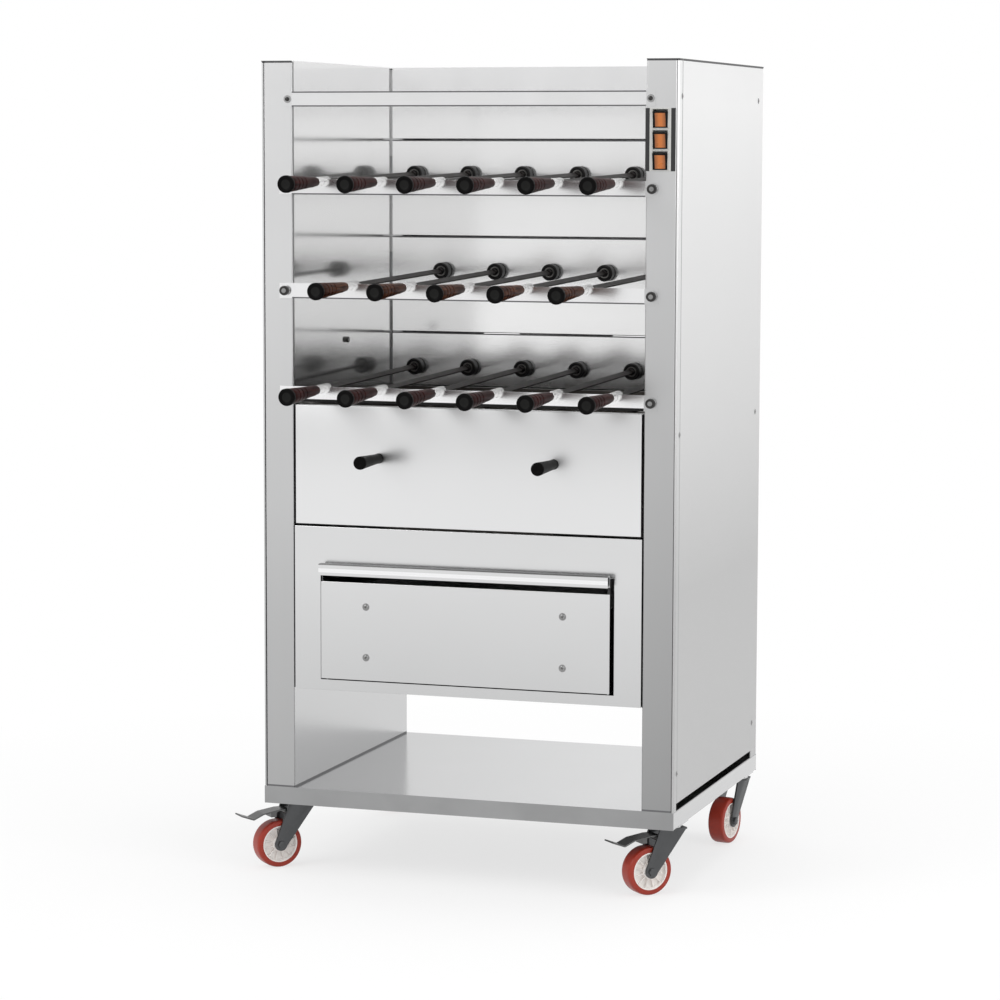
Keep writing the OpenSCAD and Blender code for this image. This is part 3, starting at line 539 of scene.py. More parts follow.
def plastic(name, base, roughness=0.4, grain=1800.0, relief=0.15, shade=0.12, gloss=0.5):
    """Moulded plastic or rubber: fine grain and a slow change of shade"""
    made, tree, shader, place = bare_material(name, base, 0.0, roughness, gloss)
    group = moulded(tree, shader, place, relief, roughness - 0.07, grain)
    tint = mixed(tree, shaded(base, 1 - shade), shaded(base, 1 + shade))
    link((group, "Shade", tint, "Factor"), (tint, MIXED, shader, "Base Color"))
    return made


def wood(name, dark, light):
    """Oiled turned wood"""
    made, tree, shader, place = bare_material(name, light, 0.0, 0.35, 0.02)
    group = add(tree, "Group", {"Dark": (*dark, 1), "Light": (*light, 1)}, node_tree=groups["wood"])
    link((place, "Object", group, "Vector"), (group, "Color", shader, "Base Color"),
         (group, "Roughness", shader, "Roughness"))
    bump(tree, shader, group, 0.2, 0.0003)
    return made


def across_switches(tree, place):
    """Each point's distance, across the column, from the middle of the switches"""
    low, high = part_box("switch_plate")
    axes = add(tree, "SeparateXYZ")
    offset = add(tree, "Math", {1: (low.x + high.x) / 2}, operation="SUBTRACT")
    away = add(tree, "Math", operation="ABSOLUTE")
    link((place, "Object", axes, "Vector"), (axes, "X", offset, 0), (offset, 0, away, 0))
    return away


def switch_frame_material():
    """Light frame with a dark strip along each side, parted by place across the column"""
    made, tree, shader, place = bare_material("Switch frame", (0.6, 0.6, 0.58), 0.0, 0.35)
    strip = add(tree, "Math", {1: 0.0175}, operation="GREATER_THAN")
    tint = mixed(tree, (0.56, 0.56, 0.54), (0.014, 0.014, 0.015))
    link((across_switches(tree, place), 0, strip, 0), (strip, 0, tint, "Factor"),
         (tint, MIXED, shader, "Base Color"))
    moulded(tree, shader, place, 0.1)
    return made


def lens_material(base):
    """Orange lens of a rocker, with a painted highlight in the middle and painted shade towards its sides"""
    made, tree, shader, place = bare_material("Orange lens", base, 0.0, 0.3)
    shader.inputs["Coat Weight"].default_value = 0.3
    # painted highlight and shade: lighter in the middle of the switches, darker towards the sides
    depth = add(tree, "MapRange", {"From Min": 0.002, "From Max": 0.009})
    tint = mixed(tree, shaded(base, 1.25), shaded(base, 0.5))
    link((across_switches(tree, place), 0, depth, "Value"), (depth, 0, tint, "Factor"),
         (tint, MIXED, shader, "Base Color"))
    moulded(tree, shader, place, 0.05, 0.22, 1200.0)
    return made


def make_finishes(colours):
    """Builds each shared effect and each finish once"""
    groups.update(
        sheet=rolled_sheet_group(), moulded=moulded_group(), wood=wood_group(), fall=painted_shade_group())
    bright, inside, dull, black = colours.steel, colours.chamber, colours.shelf, colours.black
    up = (0, 0, 1)
    finishes.update(
        # The column, wall, chamber, side, panel and shelf finishes carry painted shade: towards the bottom for
        # wall, side and panel, towards the bottom and right for column and chamber, towards the left for the
        # shelf
        column=steel("Column steel", shaded(bright, 0.98), 0.30, 0.06, cloudy=0.05,
                     fall=((-0.5, 0, 1), -0.15, 1.20, 0.40)),
        wall=steel("Polished wall steel", inside, 0.115, 0.03, (40, 40, 500), 2.2, 0.03, 0.006, 0.9,
                   fall=(up, 0.78, 1.22, 0.64)),
        chamber=steel("Chamber steel", inside, 0.15, 0.06, (40, 40, 500), 2.2, 0.03, 0.008, 0.95,
                      fall=((-1, 0, 0.5), 0.1, 0.55, 0.86)),
        side=steel("Side panel steel", inside, 0.34, 0.06, (50, 50, 500), 2.0, 0.03, 0.01, 0.55,
                   fall=(up, 0.50, 1.28, 0.49)),
        roof=steel("Roof edge steel", (0.095, 0.095, 0.097), 0.35, 0.06),
        panel=steel("Front panel steel", bright, 0.22, 0.06, (50, 50, 400), 3.0, 0.05, 0.006,
                    fall=(up, 0.30, 0.52, 0.82)),
        cover=steel("Heater cover steel", shaded(bright, 1.09), 0.30, 0.06, (50, 50, 400), 3.0, 0.04, 0.006),
        shelf=steel("Shelf steel", shaded(dull, 1.2), 0.17, 0.06, (60, 40, 300), 4.0, 0.06, 0.006, 1.0,
                    fall=((1, 0, 0), -0.30, 0.20, 0.80)),
        # also painted shade along the chamber's mouth and behind the side panels' folds
        base=steel("Base front steel", shaded(dull, 0.47), 0.34, 0.10, (40, 300, 300), 9.0, 0.22),
        # also a painted highlight band across the drawer's pull
        rail=steel("Polished rail steel", (0.90, 0.90, 0.905), 0.18, 0.06, (30, 600, 600), 12.0, 0.04, 0.01),
        # painted shade: dark steel for the lines where shade lies, along the rails and top bar, under the back
        # wall's seams and at the columns' foot
        rail_edge=steel("Rail edge steel", (0.16, 0.16, 0.165), 0.30, 0.06, (30, 600, 600), 12.0, 0.1),
        ferrule=steel("Ferrule steel", (0.84, 0.835, 0.83), 0.22, 0.05, (300, 300, 300), 30.0, 0.03, 0.0),
        blade=steel("Blade steel", (0.016, 0.014, 0.013), 0.50, 0.15, (900, 30, 900), 30.0, 0.30, 0.06, 0.0),
        # also painted shade in the back wall's seams and under the bottom rail
        hub=steel("Hub steel", (0.010, 0.0095, 0.0095), 0.42, 0.12, (300, 300, 300), 60.0, 0.25, 0.06, 0.0),
        bush=steel("Bush steel", (0.15, 0.147, 0.14), 0.30, 0.10, (500, 500, 500), 60.0, 0.15, 0.06),
        # also painted shade for the screws' cross recesses
        scorched=steel("Scorched steel", (0.085, 0.078, 0.072), 0.45, 0.20, (60, 60, 300), 9.0, 0.35, 0.06),
        sheath=steel("Heater sheath", (0.06, 0.055, 0.05), 0.5, 0.2, (400, 60, 400), 20.0, 0.3, 0.06),
        zinc=steel("Zinc plate", (0.10, 0.102, 0.105), 0.38, 0.14, (200, 200, 200), 40.0, 0.2, 0.05),
        # also painted shade on the drawer's top faces above the pull
        pedal=steel("Pedal steel", (0.13, 0.13, 0.13), 0.32, 0.14, (200, 200, 200), 40.0, 0.2, 0.05),
        drive=steel("Drive steel", (0.33, 0.335, 0.34), 0.38, 0.15, (200, 200, 200), 20.0, 0.2, 0.06),
        screw=steel("Screw steel", (0.30, 0.30, 0.30), 0.30, 0.1, (600, 600, 600), 80.0, 0.15, 0.04),
        thumb=steel("Thumb screw steel", (0.055, 0.054, 0.053), 0.36, 0.1, (600, 600, 600), 80.0, 0.2, 0.04),
        ring=steel("Washer steel", (0.40, 0.40, 0.40), 0.26, 0.08, (300, 300, 300), 60.0, 0.06),
        wood=wood("Turned handle wood", colours.wood_dark, colours.wood_light),
        brown=wood("Brown handle wood", colours.wood_dark, colours.wood_brown),
        knob=plastic("Black knob", black, 0.42, 2200.0, 0.10, gloss=0.05),
        knob_face=plastic("Knob face", (0.0125, 0.0125, 0.012), 0.5, 1500.0, 0.3, gloss=0.06),
        grip=plastic("Black grip", black, 0.42, 1800.0, 0.06, gloss=0.04),
        # also painted shade at the ends of the drawer's slot
        rocker=plastic("Black rocker", black, 0.38, 1200.0, 0.05, 0.2, gloss=0.15),
        lens=lens_material(colours.rocker),
        tread=plastic("Castor tread", colours.tread, 0.36, 900.0, 0.1, 0.15, gloss=0.4),
        wheel_hub=plastic("Castor hub", colours.hub, 0.42, 1100.0, 0.12, 0.05),
        gland=plastic("Gland plastic", (0.05, 0.05, 0.052), 0.45),
        frame=switch_frame_material(),
    )


# ---- Pieces ----


def rail_low(row):
    """Height of the lower edge of a row's rail"""
    joint = JOINT_OF[row + "_spindle_1"]
    return joint["pos_m"][2] - BEARING_REACH * joint["axis"][2] - RAIL_BELOW_AXIS


def faces_chamber(face, low, high):
    """Whether a face is on a column's inner wall, between two heights"""
    place = centre(face)
    return (abs(face.normal.x) > 0.9 and abs(place.x) < CHAMBER + 0.0003 and place.y > FRONT + 0.002
            and low < place.z < high)


def faces_out(face):
    """Whether a face is on the cabinet's left or right side"""
    return abs(face.normal.x) > 0.5 and abs(centre(face).x) > OUTSIDE


def finish_top(piece):
    """Dark line along the top edge, and bright metal on top"""
    line = TOP - ROOF_LINE
    cut(piece, "z", line)
    patch(piece, "roof", lambda f: centre(f).z > line and (f.normal.y < -0.5 or faces_out(f)))
    patch(piece, "panel", lambda f: centre(f).z > TOP - 0.003 and f.normal.z > 0.7)


def finish_base(piece):
    """Duller sides under the shelf, with brighter ends"""
    patch(piece, "base", lambda f: f.normal.z < 0.9)
    patch(piece, "panel", lambda f: abs(f.normal.x) > 0.7)


def finish_columns(piece):
    """Polished chamber walls with painted shade along their front strip, plain bay walls, and a painted shade
    line at the foot
    """
    cut(piece, "z", BAY_TOP)
    patch(piece, "wall", lambda f: faces_chamber(f, BAY_TOP, TOP))
    patch(piece, "panel", lambda f: faces_chamber(f, 0.0, BAY_TOP))
    finish_top(piece)
    # painted shade: the chamber walls' front strip gets the darker base steel
    mouth = FRONT + 0.0075
    cut(piece, "y", mouth)
    patch(piece, "base", lambda f: faces_chamber(f, BAY_TOP, TOP) and centre(f).y < mouth)
    # painted shade: a dark line along the columns' foot
    foot = FOOT + FOOT_SHADE_LINE
    cut(piece, "z", foot)
    patch(piece, "rail_edge", lambda f: faces_chamber(f, 0.0, foot) or f.normal.y < -0.5 and centre(f).z < foot)


def finish_panels(piece):
    """The left panel's fold as the column beside it, and a painted shade line in the darker base steel behind
    both folds
    """
    finish_top(piece)
    patch(piece, "column", lambda f: centre(f).x < -OUTSIDE and f.normal.y < -0.3
          and centre(f).z < TOP - ROOF_LINE)
    # painted shade: a dark strip on the outer faces just behind each fold
    fold = FRONT + 0.0175
    cut(piece, "y", fold, fold + FOLD_SHADE_LINE)
    patch(piece, "base", lambda f: faces_out(f) and fold < centre(f).y < fold + FOLD_SHADE_LINE)


def finish_wall(piece):
    """Painted shade at the seams between the sheets, and a brighter strip behind the top bar"""
    seams = [rail_low(row) + SEAM_ABOVE_RAIL for row in ROWS]
    strip = TOP - 0.051
    # painted shade: the faces inside each seam's gap get the dark hub steel
    patch(piece, "hub", lambda f: f.normal.y > -0.9 and any(abs(centre(f).z - z) < 0.005 for z in seams))
    cut(piece, "z", strip, *[z - SEAM_SHADE_LINE for z in seams])
    patch(piece, "rail", lambda f: f.normal.y < -0.9 and centre(f).z > strip)
    # painted shade: a dark line on the front face just below each seam
    patch(piece, "rail_edge", lambda f: f.normal.y < -0.9
          and any(0 < z - centre(f).z < SEAM_SHADE_LINE for z in seams))


def finish_rear(piece):
    """The supply lead's gland in plastic"""
    patch(piece, "gland", lambda f: math.hypot(centre(f).x - GLAND_X, centre(f).z - GLAND_Z) < GLAND_RADIUS)


class GRILL_OT_cabinet(bpy.types.Operator):
    """Base, columns, side panels, back wall, rear cover and front panel in stainless sheet"""

    bl_idname = "grill.cabinet"
    bl_label = "Cabinet"

    def execute(self, context):
        for node, finish, finish_details in (
            ("base_frame", "shelf", finish_base), ("side_columns", "column", finish_columns),
            ("side_panels", "side", finish_panels), ("front_panel", "panel", None),
            ("rear_cover", "side", finish_rear), ("back_wall", "chamber", finish_wall),
        ):
            piece = softened(node, node + "_sheet", context.scene.grill_sizes.edge_break)
            dress(piece, "cabinet", finish, "stainless_sheet", node)
            if finish_details:
                finish_details(piece)
        return {"FINISHED"}


class GRILL_OT_rails(bpy.types.Operator):
    """Polished skewer rails and top bar, with painted shade lines along their edges"""

    bl_idname = "grill.rails"
    bl_label = "Skewer rails"

    def execute(self, context):
        piece = softened("skewer_rails", "polished_rails", 0.0003)
        dress(piece, "cabinet", "rail", "polished_rails", "skewer_rails")
        bar_top = TOP - BAR_DROP
        bar_low = bar_top - BAR_HEIGHT
        rails = [rail_low(row) for row in ROWS]

        def on_bar(face):
            """Whether a face is on the top bar and not on a rail"""
            return centre(face).z > bar_low - 0.001

        def in_front(face, between):
            """Whether a face is on the front, between the columns or beside them"""
            return face.normal.y < -0.5 and (abs(centre(face).x) < CHAMBER) == between

        without(piece, lambda f: centre(f).y < FRONT - (0.0017 if on_bar(f) else 0.0032))
        # painted shade: dark lines along the rails' lower edges and the top bar's edges, between the columns
        lines = [(rails[0], 2 * RAIL_SHADE_LINE), (rails[1], RAIL_SHADE_LINE), (rails[2], RAIL_SHADE_LINE), (bar_low, RAIL_SHADE_LINE)]
        cut(piece, "z", *[z + width for z, width in lines], bar_top - RAIL_SHADE_LINE)
        cut(piece, "x", -CHAMBER, CHAMBER)
        patch(piece, "rail_edge", lambda f: in_front(f, True) and (
            any(0 < centre(f).z - z < width for z, width in lines) or 0 < bar_top - centre(f).z < RAIL_SHADE_LINE))
        # painted shade: the bottom rail's wider lower line, over the gap above the cover, in the dark hub steel
        patch(piece, "hub", lambda f: in_front(f, True) and 0 < centre(f).z - rails[0] < 2 * RAIL_SHADE_LINE)
        patch(piece, "column", lambda f: in_front(f, False) and (on_bar(f) or centre(f).x > 0))
        rides = ("cabinet", "polished_rails", "skewer_rails")
        thumb = thumb_screw_pattern(0.0080, 0.0080)
        bolt = bar_bolt_pattern(0.0064, 0.0040)
        for side, sign in SIDES:
            for row, z in zip(ROWS, rails):
                place = at(sign * (CHAMBER + 0.012), FRONT - 0.003, z + 0.0125, TOWARDS)
                dress_copy(thumb, f"{row}_rail_screw_{side}", place, *rides)
            place = at(sign * (CHAMBER + 0.0075), FRONT - 0.0015, bar_low + BAR_HEIGHT / 2, TOWARDS)
            dress_copy(bolt, f"top_bar_bolt_{side}", place, *rides)
        retire(thumb, bolt)
        return {"FINISHED"}


def thumb_screw_pattern(radius, height):
    """A knurled thumb screw with a dished end, on the plane Z = 0"""
    segments = 48
    head = coat("thumb", turned("thumb", sized(
        radius, height, (0.96, 0), (0.96, 0.16), (1, 0.24), (1, 0.86), (0.93, 0.97), (0.82, 1), (0.55, 1),
        (0.48, 0.93), (0.2, 0.92)), segments))
    with editing(head):
        pick(head, "verts", lambda v: off_axis(v.co) > radius * 0.97
             and round(math.atan2(v.co.y, v.co.x) / math.tau * segments) % 2 == 0)
        bpy.ops.transform.resize(value=(0.93, 0.93, 1), center_override=(0, 0, 0))
    patch(head, "screw", lambda f: centre(f).z > height * 0.9 and off_axis(centre(f)) < radius * 0.5)
    return smooth(head, 25)


def bar_bolt_pattern(radius, height):
    """A dark domed bolt on a bright washer, on the plane Z = 0"""
    washer = turned("bolt_washer", sized(
        radius, height, (0.5, 0), (0.95, 0), (1, 0.1), (0.97, 0.3), (0.5, 0.32), (0.5, 0)), 32, hollow=True)
    head = turned("bolt_head", sized(
        radius, height, (0.56, 0.1), (0.56, 0.6), (0.5, 0.85), (0.35, 0.98), (0.15, 1)), 32)
    return joined("bar_bolt", coat("ring", washer), coat("thumb", head))


class GRILL_OT_heat(bpy.types.Operator):
    """Scorched firebox, heater tubes and the drive behind the chamber"""

    bl_idname = "grill.heat"
    bl_label = "Firebox and drive"

    def execute(self, context):
        for node, finish in (("firebox", "scorched"), ("heating_elements", "sheath"), ("drive_unit", "drive")):
            paint(node, finish)
        return {"FINISHED"}


def along_row(node):
    """The place of a spindle's row frame: Y back along the skewer from the front plane"""
    joint = JOINT_OF[node]
    axis = Vector(joint["axis"])
    origin = Vector(joint["pos_m"]) - axis * BEARING_REACH
    return at(*origin, Matrix.Rotation(math.atan2(axis.z, axis.y), 4, "X"))


def skewer_pattern(groove):
    """One skewer along Y: ringed knob, turned wooden handle, ferrule, flat blade and square tang"""
    low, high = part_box("top_skewer_1")
    radius = (high.x - low.x) / 2
    start = -0.155
    body = radius - 0.001
    knob = coat("knob", turned("knob", [(r, start + z) for r, z in (
        (0.0030, 0.0016), (radius * 0.55, 0.0014), (radius * 0.66, 0.0004), (radius * 0.74, 0),
        (radius - 0.0018, 0), (radius - 0.0005, 0.0006), (radius, 0.0019), (radius, 0.0078),
        (radius - 0.0006, 0.0092), (radius - 0.0018, 0.0099), (body - groove - 0.0006, 0.0101))]))
    patch(knob, "knob_face", lambda f: centre(f).z < start + 0.002 and off_axis(centre(f)) < radius * 0.6)
    handle_start = start + 0.0099
    handle = coat("wood", turned("handle", [(r, handle_start + z) for r, z in (
        (body - groove, 0.0), (body - 0.0002, 0.0010), (body, 0.0026), (body - 0.0002, 0.012),
        (body - 0.0006, 0.0212), (body - 0.0007 - groove, 0.0222), (body - 0.0007 - groove, 0.0234),
        (body - 0.0007, 0.0244), (body - 0.0009, 0.031), (body - 0.0014, 0.0372),
        (body - 0.0016 - groove, 0.0384), (body - 0.0016 - groove, 0.0396), (body - 0.0016, 0.0408),
        (body - 0.0020, 0.049), (body - 0.0022, 0.0558), (body - 0.0023 - groove, 0.0568),
        (body - 0.0023 - groove, 0.0580), (body - 0.0024, 0.0590), (body - 0.0030, 0.074),
        (body - 0.0040, 0.090), (0.0088, 0.104), (0.0080, 0.1125), (0.0075, 0.1190), (0.0074, 0.1212))]))
    ferrule = coat("ferrule", turned("ferrule", [
        (0.0056, -0.0240), (0.0070, -0.0240), (0.0075, -0.0235), (0.0075, 0.0266), (0.0068, 0.0280),
        (0.0050, 0.0280)], 32))
    blade = block("blade", (-0.005, -0.0015, 0.020), (0.005, 0.0015, 0.443), 0.0006)
    tang = block("tang", (-0.0045, -0.0045, 0.441), (0.0045, 0.0045, 0.4598), 0.0007)
    for part in (blade, tang):
        placed(coat("blade", part), Matrix.Rotation(BLADE_TURN, 4, "Z"))
    return placed(joined("skewer_pattern", knob, handle, ferrule, blade, tang), AWAY)


class GRILL_OT_skewers(bpy.types.Operator):
    """Turned wooden handles with their ferrules, blades and tangs"""

    bl_idname = "grill.skewers"
    bl_label = "Skewers"

    def execute(self, context):
        pattern = skewer_pattern(context.scene.grill_sizes.groove_depth)
        for node in [n for n in frame["nodes"] if "_skewer_" in n]:
            place = along_row(node.replace("_skewer_", "_spindle_"))
            piece = dress_copy(pattern, node + "_turned", place, node, "skewer", node)
            if node.startswith("middle"):
                wooden = piece.data.materials.find(finishes["wood"].name)
                piece.data.materials[wooden] = finishes["brown"]
        retire(pattern)
        return {"FINISHED"}


class GRILL_OT_spindles(bpy.types.Operator):
    """Dark drive hubs, each with a bright bush round its square socket"""

    bl_idname = "grill.spindles"
    bl_label = "Spindles"

    def execute(self, context):
        pattern = placed(turned("bush_pattern", [
            (0.0068, 0.4477), (0.0086, 0.4477), (0.0091, 0.4482), (0.0091, 0.4492), (0.0068, 0.4492),
            (0.0068, 0.4477)], 32, hollow=True), AWAY)
        for node in [n for n in frame["nodes"] if "_spindle_" in n]:
            paint(node, "hub")
            dress_copy(pattern, node + "_bush", along_row(node), node, "spindle_steel", finish="bush")
        retire(pattern)
        return {"FINISHED"}


class GRILL_OT_heater_cover(bpy.types.Operator):
    """Lift-off cover: folded pan with softened edges, and two tapered black grips"""

    bl_idname = "grill.heater_cover"
    bl_label = "Heater cover"

    def execute(self, context):
        low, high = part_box("heater_cover")
        pan = block("heater_cover_pan", (low.x, FRONT, low.z), (high.x, FRONT + 0.020, high.z))
        with editing(pan):
            pick(pan, "faces", lambda f: f.normal.y > 0.9)
            bpy.ops.mesh.delete(type="FACE")
            pick(pan, "edges", lambda e: len(e.link_faces) == 2)
            bpy.ops.mesh.bevel(offset=0.0009, segments=3, affect="EDGES")
        finish_with(pan, "SOLIDIFY", thickness=0.0015, offset=-1.0)
        dress(smooth(pan, 25), "heater_cover", "cover", "heater_cover", "heater_cover")
        grip = coat("grip", turned("grip", [
            (0.0060, 0.0002), (0.0076, 0.0002), (0.0084, 0.0008), (0.0085, 0.0022), (0.0082, 0.0032),
            (0.0081, 0.0050), (0.0083, 0.018), (0.0089, 0.036), (0.0096, 0.056),
            (0.0103, 0.072), (0.0108, 0.0835), (0.0109, 0.0865), (0.0106, 0.0884), (0.0097, 0.0896),
            (0.0085, 0.0900), (0.0048, 0.0900), (0.0042, 0.0896), (0.0012, 0.0895)]))
        for side, sign in SIDES:
            place = at(sign * GRIP_X, FRONT, low.z + (high.z - low.z) * GRIP_SHARE, TOWARDS)
            dress_copy(grip, f"cover_grip_{side}", place, "heater_cover", "heater_cover", "heater_cover")
        retire(grip)
        return {"FINISHED"}


class GRILL_OT_drawer(bpy.types.Operator):
    """Drip drawer: bent front with its hooded finger pull and slot, open tray and four screws, with a painted
    highlight across the pull and painted shade at the slot's ends and on the top faces
    """

    bl_idname = "grill.drawer"
    bl_label = "Drawer"

    def execute(self, context):
        drawer = softened("drawer", "drawer_shell", 0.0003)
        dress(drawer, "drawer", "panel", "stainless_sheet", "drawer")
        flat = FRONT - 0.010
        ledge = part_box("drawer")[0].z + LEDGE
        slot_low = ledge + 0.0045
        with editing(drawer):
            pick(drawer, "verts", lambda v: v.co.y < FRONT - 0.008 and abs(v.co.z - ledge) < 0.001)
            bpy.ops.transform.translate(value=(0, 0, slot_low - ledge))
        lip = ledge + 0.016
        highlight_band_low, highlight_band_high = lip + 0.005, lip + 0.0115
        cut(drawer, "z", slot_low, lip, highlight_band_low, highlight_band_high)
        # painted highlight: a bright band of rail steel across the front of the pull's lip
        patch(drawer, "rail", lambda f: f.normal.y < -0.5 and centre(f).y < FRONT - 0.0215
              and highlight_band_low < centre(f).z < highlight_band_high)
        # painted shade: the slot's ends beside the pull in black
        patch(drawer, "rocker", lambda f: f.normal.y < -0.5 and abs(centre(f).x) > 0.2455
              and FRONT - 0.013 < centre(f).y < FRONT - 0.008 and slot_low < centre(f).z < lip)
        # painted shade: the top faces above the pull in dark steel
        patch(drawer, "pedal", lambda f: f.normal.z > 0.3 and centre(f).z > ledge + 0.033)
        screw = screw_pattern(0.0044, 0.0022)
        for column, sign in SIDES:
            for row, z in DRAWER_SCREW_HEIGHTS:
                dress_copy(screw, f"drawer_screw_{row}_{column}",
                           at(sign * DRAWER_SCREW_X, flat, z, TOWARDS), "drawer", "stainless_sheet")
        retire(screw)
        return {"FINISHED"}


def screw_pattern(radius, height):
    """A domed screw head with a washer, and two dark blocks across its top as painted shade for a cross recess,
    on the plane Z = 0
    """
    washer = turned("washer", sized(
        radius, height, (0.5, 0), (1.35, 0), (1.4, 0.08), (1.35, 0.2), (0.5, 0.2), (0.5, 0)), 32, hollow=True)
    head = turned("head", sized(
        radius, height, (1, 0), (1, 0.3), (0.95, 0.55), (0.8, 0.8), (0.55, 0.96), (0.3, 1)), 32)
    coat("screw", washer, head)
    recess_shades = []
    # painted shade: the cross recess is two dark blocks set on the dome, not cut
    for turn in (20, 110):
        slot = block("recess", (-radius * 0.55, -radius * 0.1, height * 0.9),
                     (radius * 0.55, radius * 0.1, height * 1.02))
        recess_shades.append(placed(coat("scorched", slot), Matrix.Rotation(math.radians(turn), 4, "Z")))
    return joined("screw_pattern", head, washer, *recess_shades)


class GRILL_OT_fasteners(bpy.types.Operator):
    """Screws of the side panels, the rear cover and the chamber"""

    bl_idname = "grill.fasteners"
    bl_label = "Fasteners"

    def execute(self, context):
        radius = context.scene.grill_sizes.screw_head
        screw = screw_pattern(radius, radius * 0.3)
        small = thumb_screw_pattern(0.0050, 0.0050)
        for side, sign in SIDES:
            outward = Matrix.Rotation(sign * math.pi / 2, 4, "Y")
            for column, depth in SIDE_SCREW_DEPTHS:
                for k, z in enumerate(SIDE_SCREW_HEIGHTS):
                    place = at(sign * HALF_W, FRONT + depth, z, outward)
                    dress_copy(screw, f"side_screw_{side}_{column}_{k}", place, "cabinet", "stainless_sheet")
            for k in range(5):
                place = at(sign * REAR_SCREW_X, REAR + 0.0015, REAR_SCREW_LOW + k * REAR_SCREW_STEP, AWAY)
                dress_copy(screw, f"rear_screw_{side}_{k}", place, "cabinet", "stainless_sheet")
        for side, sign in SIDES:
            inward = Matrix.Rotation(-sign * math.pi / 2, 4, "Y")
            place = at(sign * (CHAMBER - 0.0001), CHAMBER_SCREW_Y, CHAMBER_SCREW_Z, inward)
            dress_copy(small, f"chamber_screw_{side}", place, "cabinet", "stainless_sheet")
        retire(screw, small)
        return {"FINISHED"}


class GRILL_OT_switches(bpy.types.Operator):
    """Switch frame with its three orange rockers"""

    bl_idname = "grill.switches"
    bl_label = "Switches"

    def execute(self, context):
        plate = softened("switch_plate", "switch_frame")
        dress(plate, "cabinet", "frame", "switch_frame", "switch_plate")
        for name in ("upper", "middle", "lower"):
            node = name + "_switch"
            piece = softened(node, name + "_rocker", 0.0009, 3)
            dress(piece, node, "rocker", "rocker", node)
            low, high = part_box(node)
            middle, half_lens = (low.x + high.x) / 2, 0.0086
            lens_low, lens_high = low.z + 0.0018, high.z - 0.0030
            cut(piece, "x", middle - half_lens, middle + half_lens)
            cut(piece, "z", lens_low, lens_high)
            patch(piece, "lens", lambda f: f.normal.y < -0.4 and abs(centre(f).x - middle) < half_lens
                  and lens_low < centre(f).z < lens_high)
            smooth(piece, 50)
        return {"FINISHED"}


def wheel_pattern(ribs):
    """One castor wheel about Z: rounded tread on a ribbed hub"""
    half, rim = 0.014, 0.031
    tread = turned("tread", mirrored(
        (rim, -half), (0.0365, -half), (0.0385, -half + 0.0008), (0.0395, -half + 0.0026),
        (0.0399, -half + 0.0055), (0.0400, -half + 0.010)), 64, hollow=True)
    hub = turned("hub", mirrored(
        (0.00406, -half), (0.0110, -half), (0.0125, -half + 0.0008), (0.0130, -0.0070), (0.0255, -0.0070),
        (0.0275, -0.0080), (0.0285, -half + 0.0006), (0.0292, -half + 0.0001), (0.0309, -half + 0.0001)),
        64, hollow=True)
    rib_parts = []
    for k in range(ribs):
        rib = block("rib", (0.0120, -0.0007, -half + 0.0022), (0.0283, 0.0007, half - 0.0022), 0.0003, 1)
        rib_parts.append(placed(rib, Matrix.Rotation(math.tau * k / ribs, 4, "Z")))
    coat("tread", tread)
    coat("wheel_hub", hub, *rib_parts)
    return joined("wheel_pattern", tread, hub, *rib_parts)


class GRILL_OT_castors(bpy.types.Operator):
    """Castors: pressed forks, brake pedals, and treads on ribbed hubs"""

    bl_idname = "grill.castors"
    bl_label = "Castors"

    def execute(self, context):
        pattern = wheel_pattern(context.scene.grill_sizes.ribs)
        for corner in CORNERS:
            fork, wheel, brake = (corner + "_castor_" + part for part in ("fork", "wheel", "brake"))
            piece = smooth(softened(fork, corner + "_pressed_fork", 0.0007), 40)
            dress(piece, fork, "zinc", "castor_steel", fork)
            joint = JOINT_OF[wheel]
            turn = AXES["z"].rotation_difference(Vector(joint["axis"])).to_matrix().to_4x4()
            dress_copy(pattern, corner + "_ribbed_wheel", at(*joint["pos_m"], turn), wheel, "castor_tread", wheel)
            if brake in frame["nodes"]:
                dress(softened(brake, corner + "_pressed_brake", 0.0006), brake, "pedal", "castor_steel", brake)
        retire(pattern)
        return {"FINISHED"}


# ---- Stage ----

LAMPS = (  # name, place, target, size, power
    ("Key lamp", (-2.6, -3.2, 3.4), (0, 0, 0.8), 2.4, 70),
    ("Fill lamp", (3.4, -1.6, 2.6), (0, 0, 0.8), 2.6, 45),
    ("Top lamp", (0.3, 0.1, 3.6), (0, 0, 0.6), 1.8, 40),
)
CAMERA_PLACE = (1.70577, -5.26115, 1.20421)
CAMERA_PAN, CAMERA_TILT, CAMERA_ROLL = 18.27868, 6.11005, 0.15963  # degrees
CAMERA_LENS, CAMERA_SENSOR = 117.515, 36  # millimetres


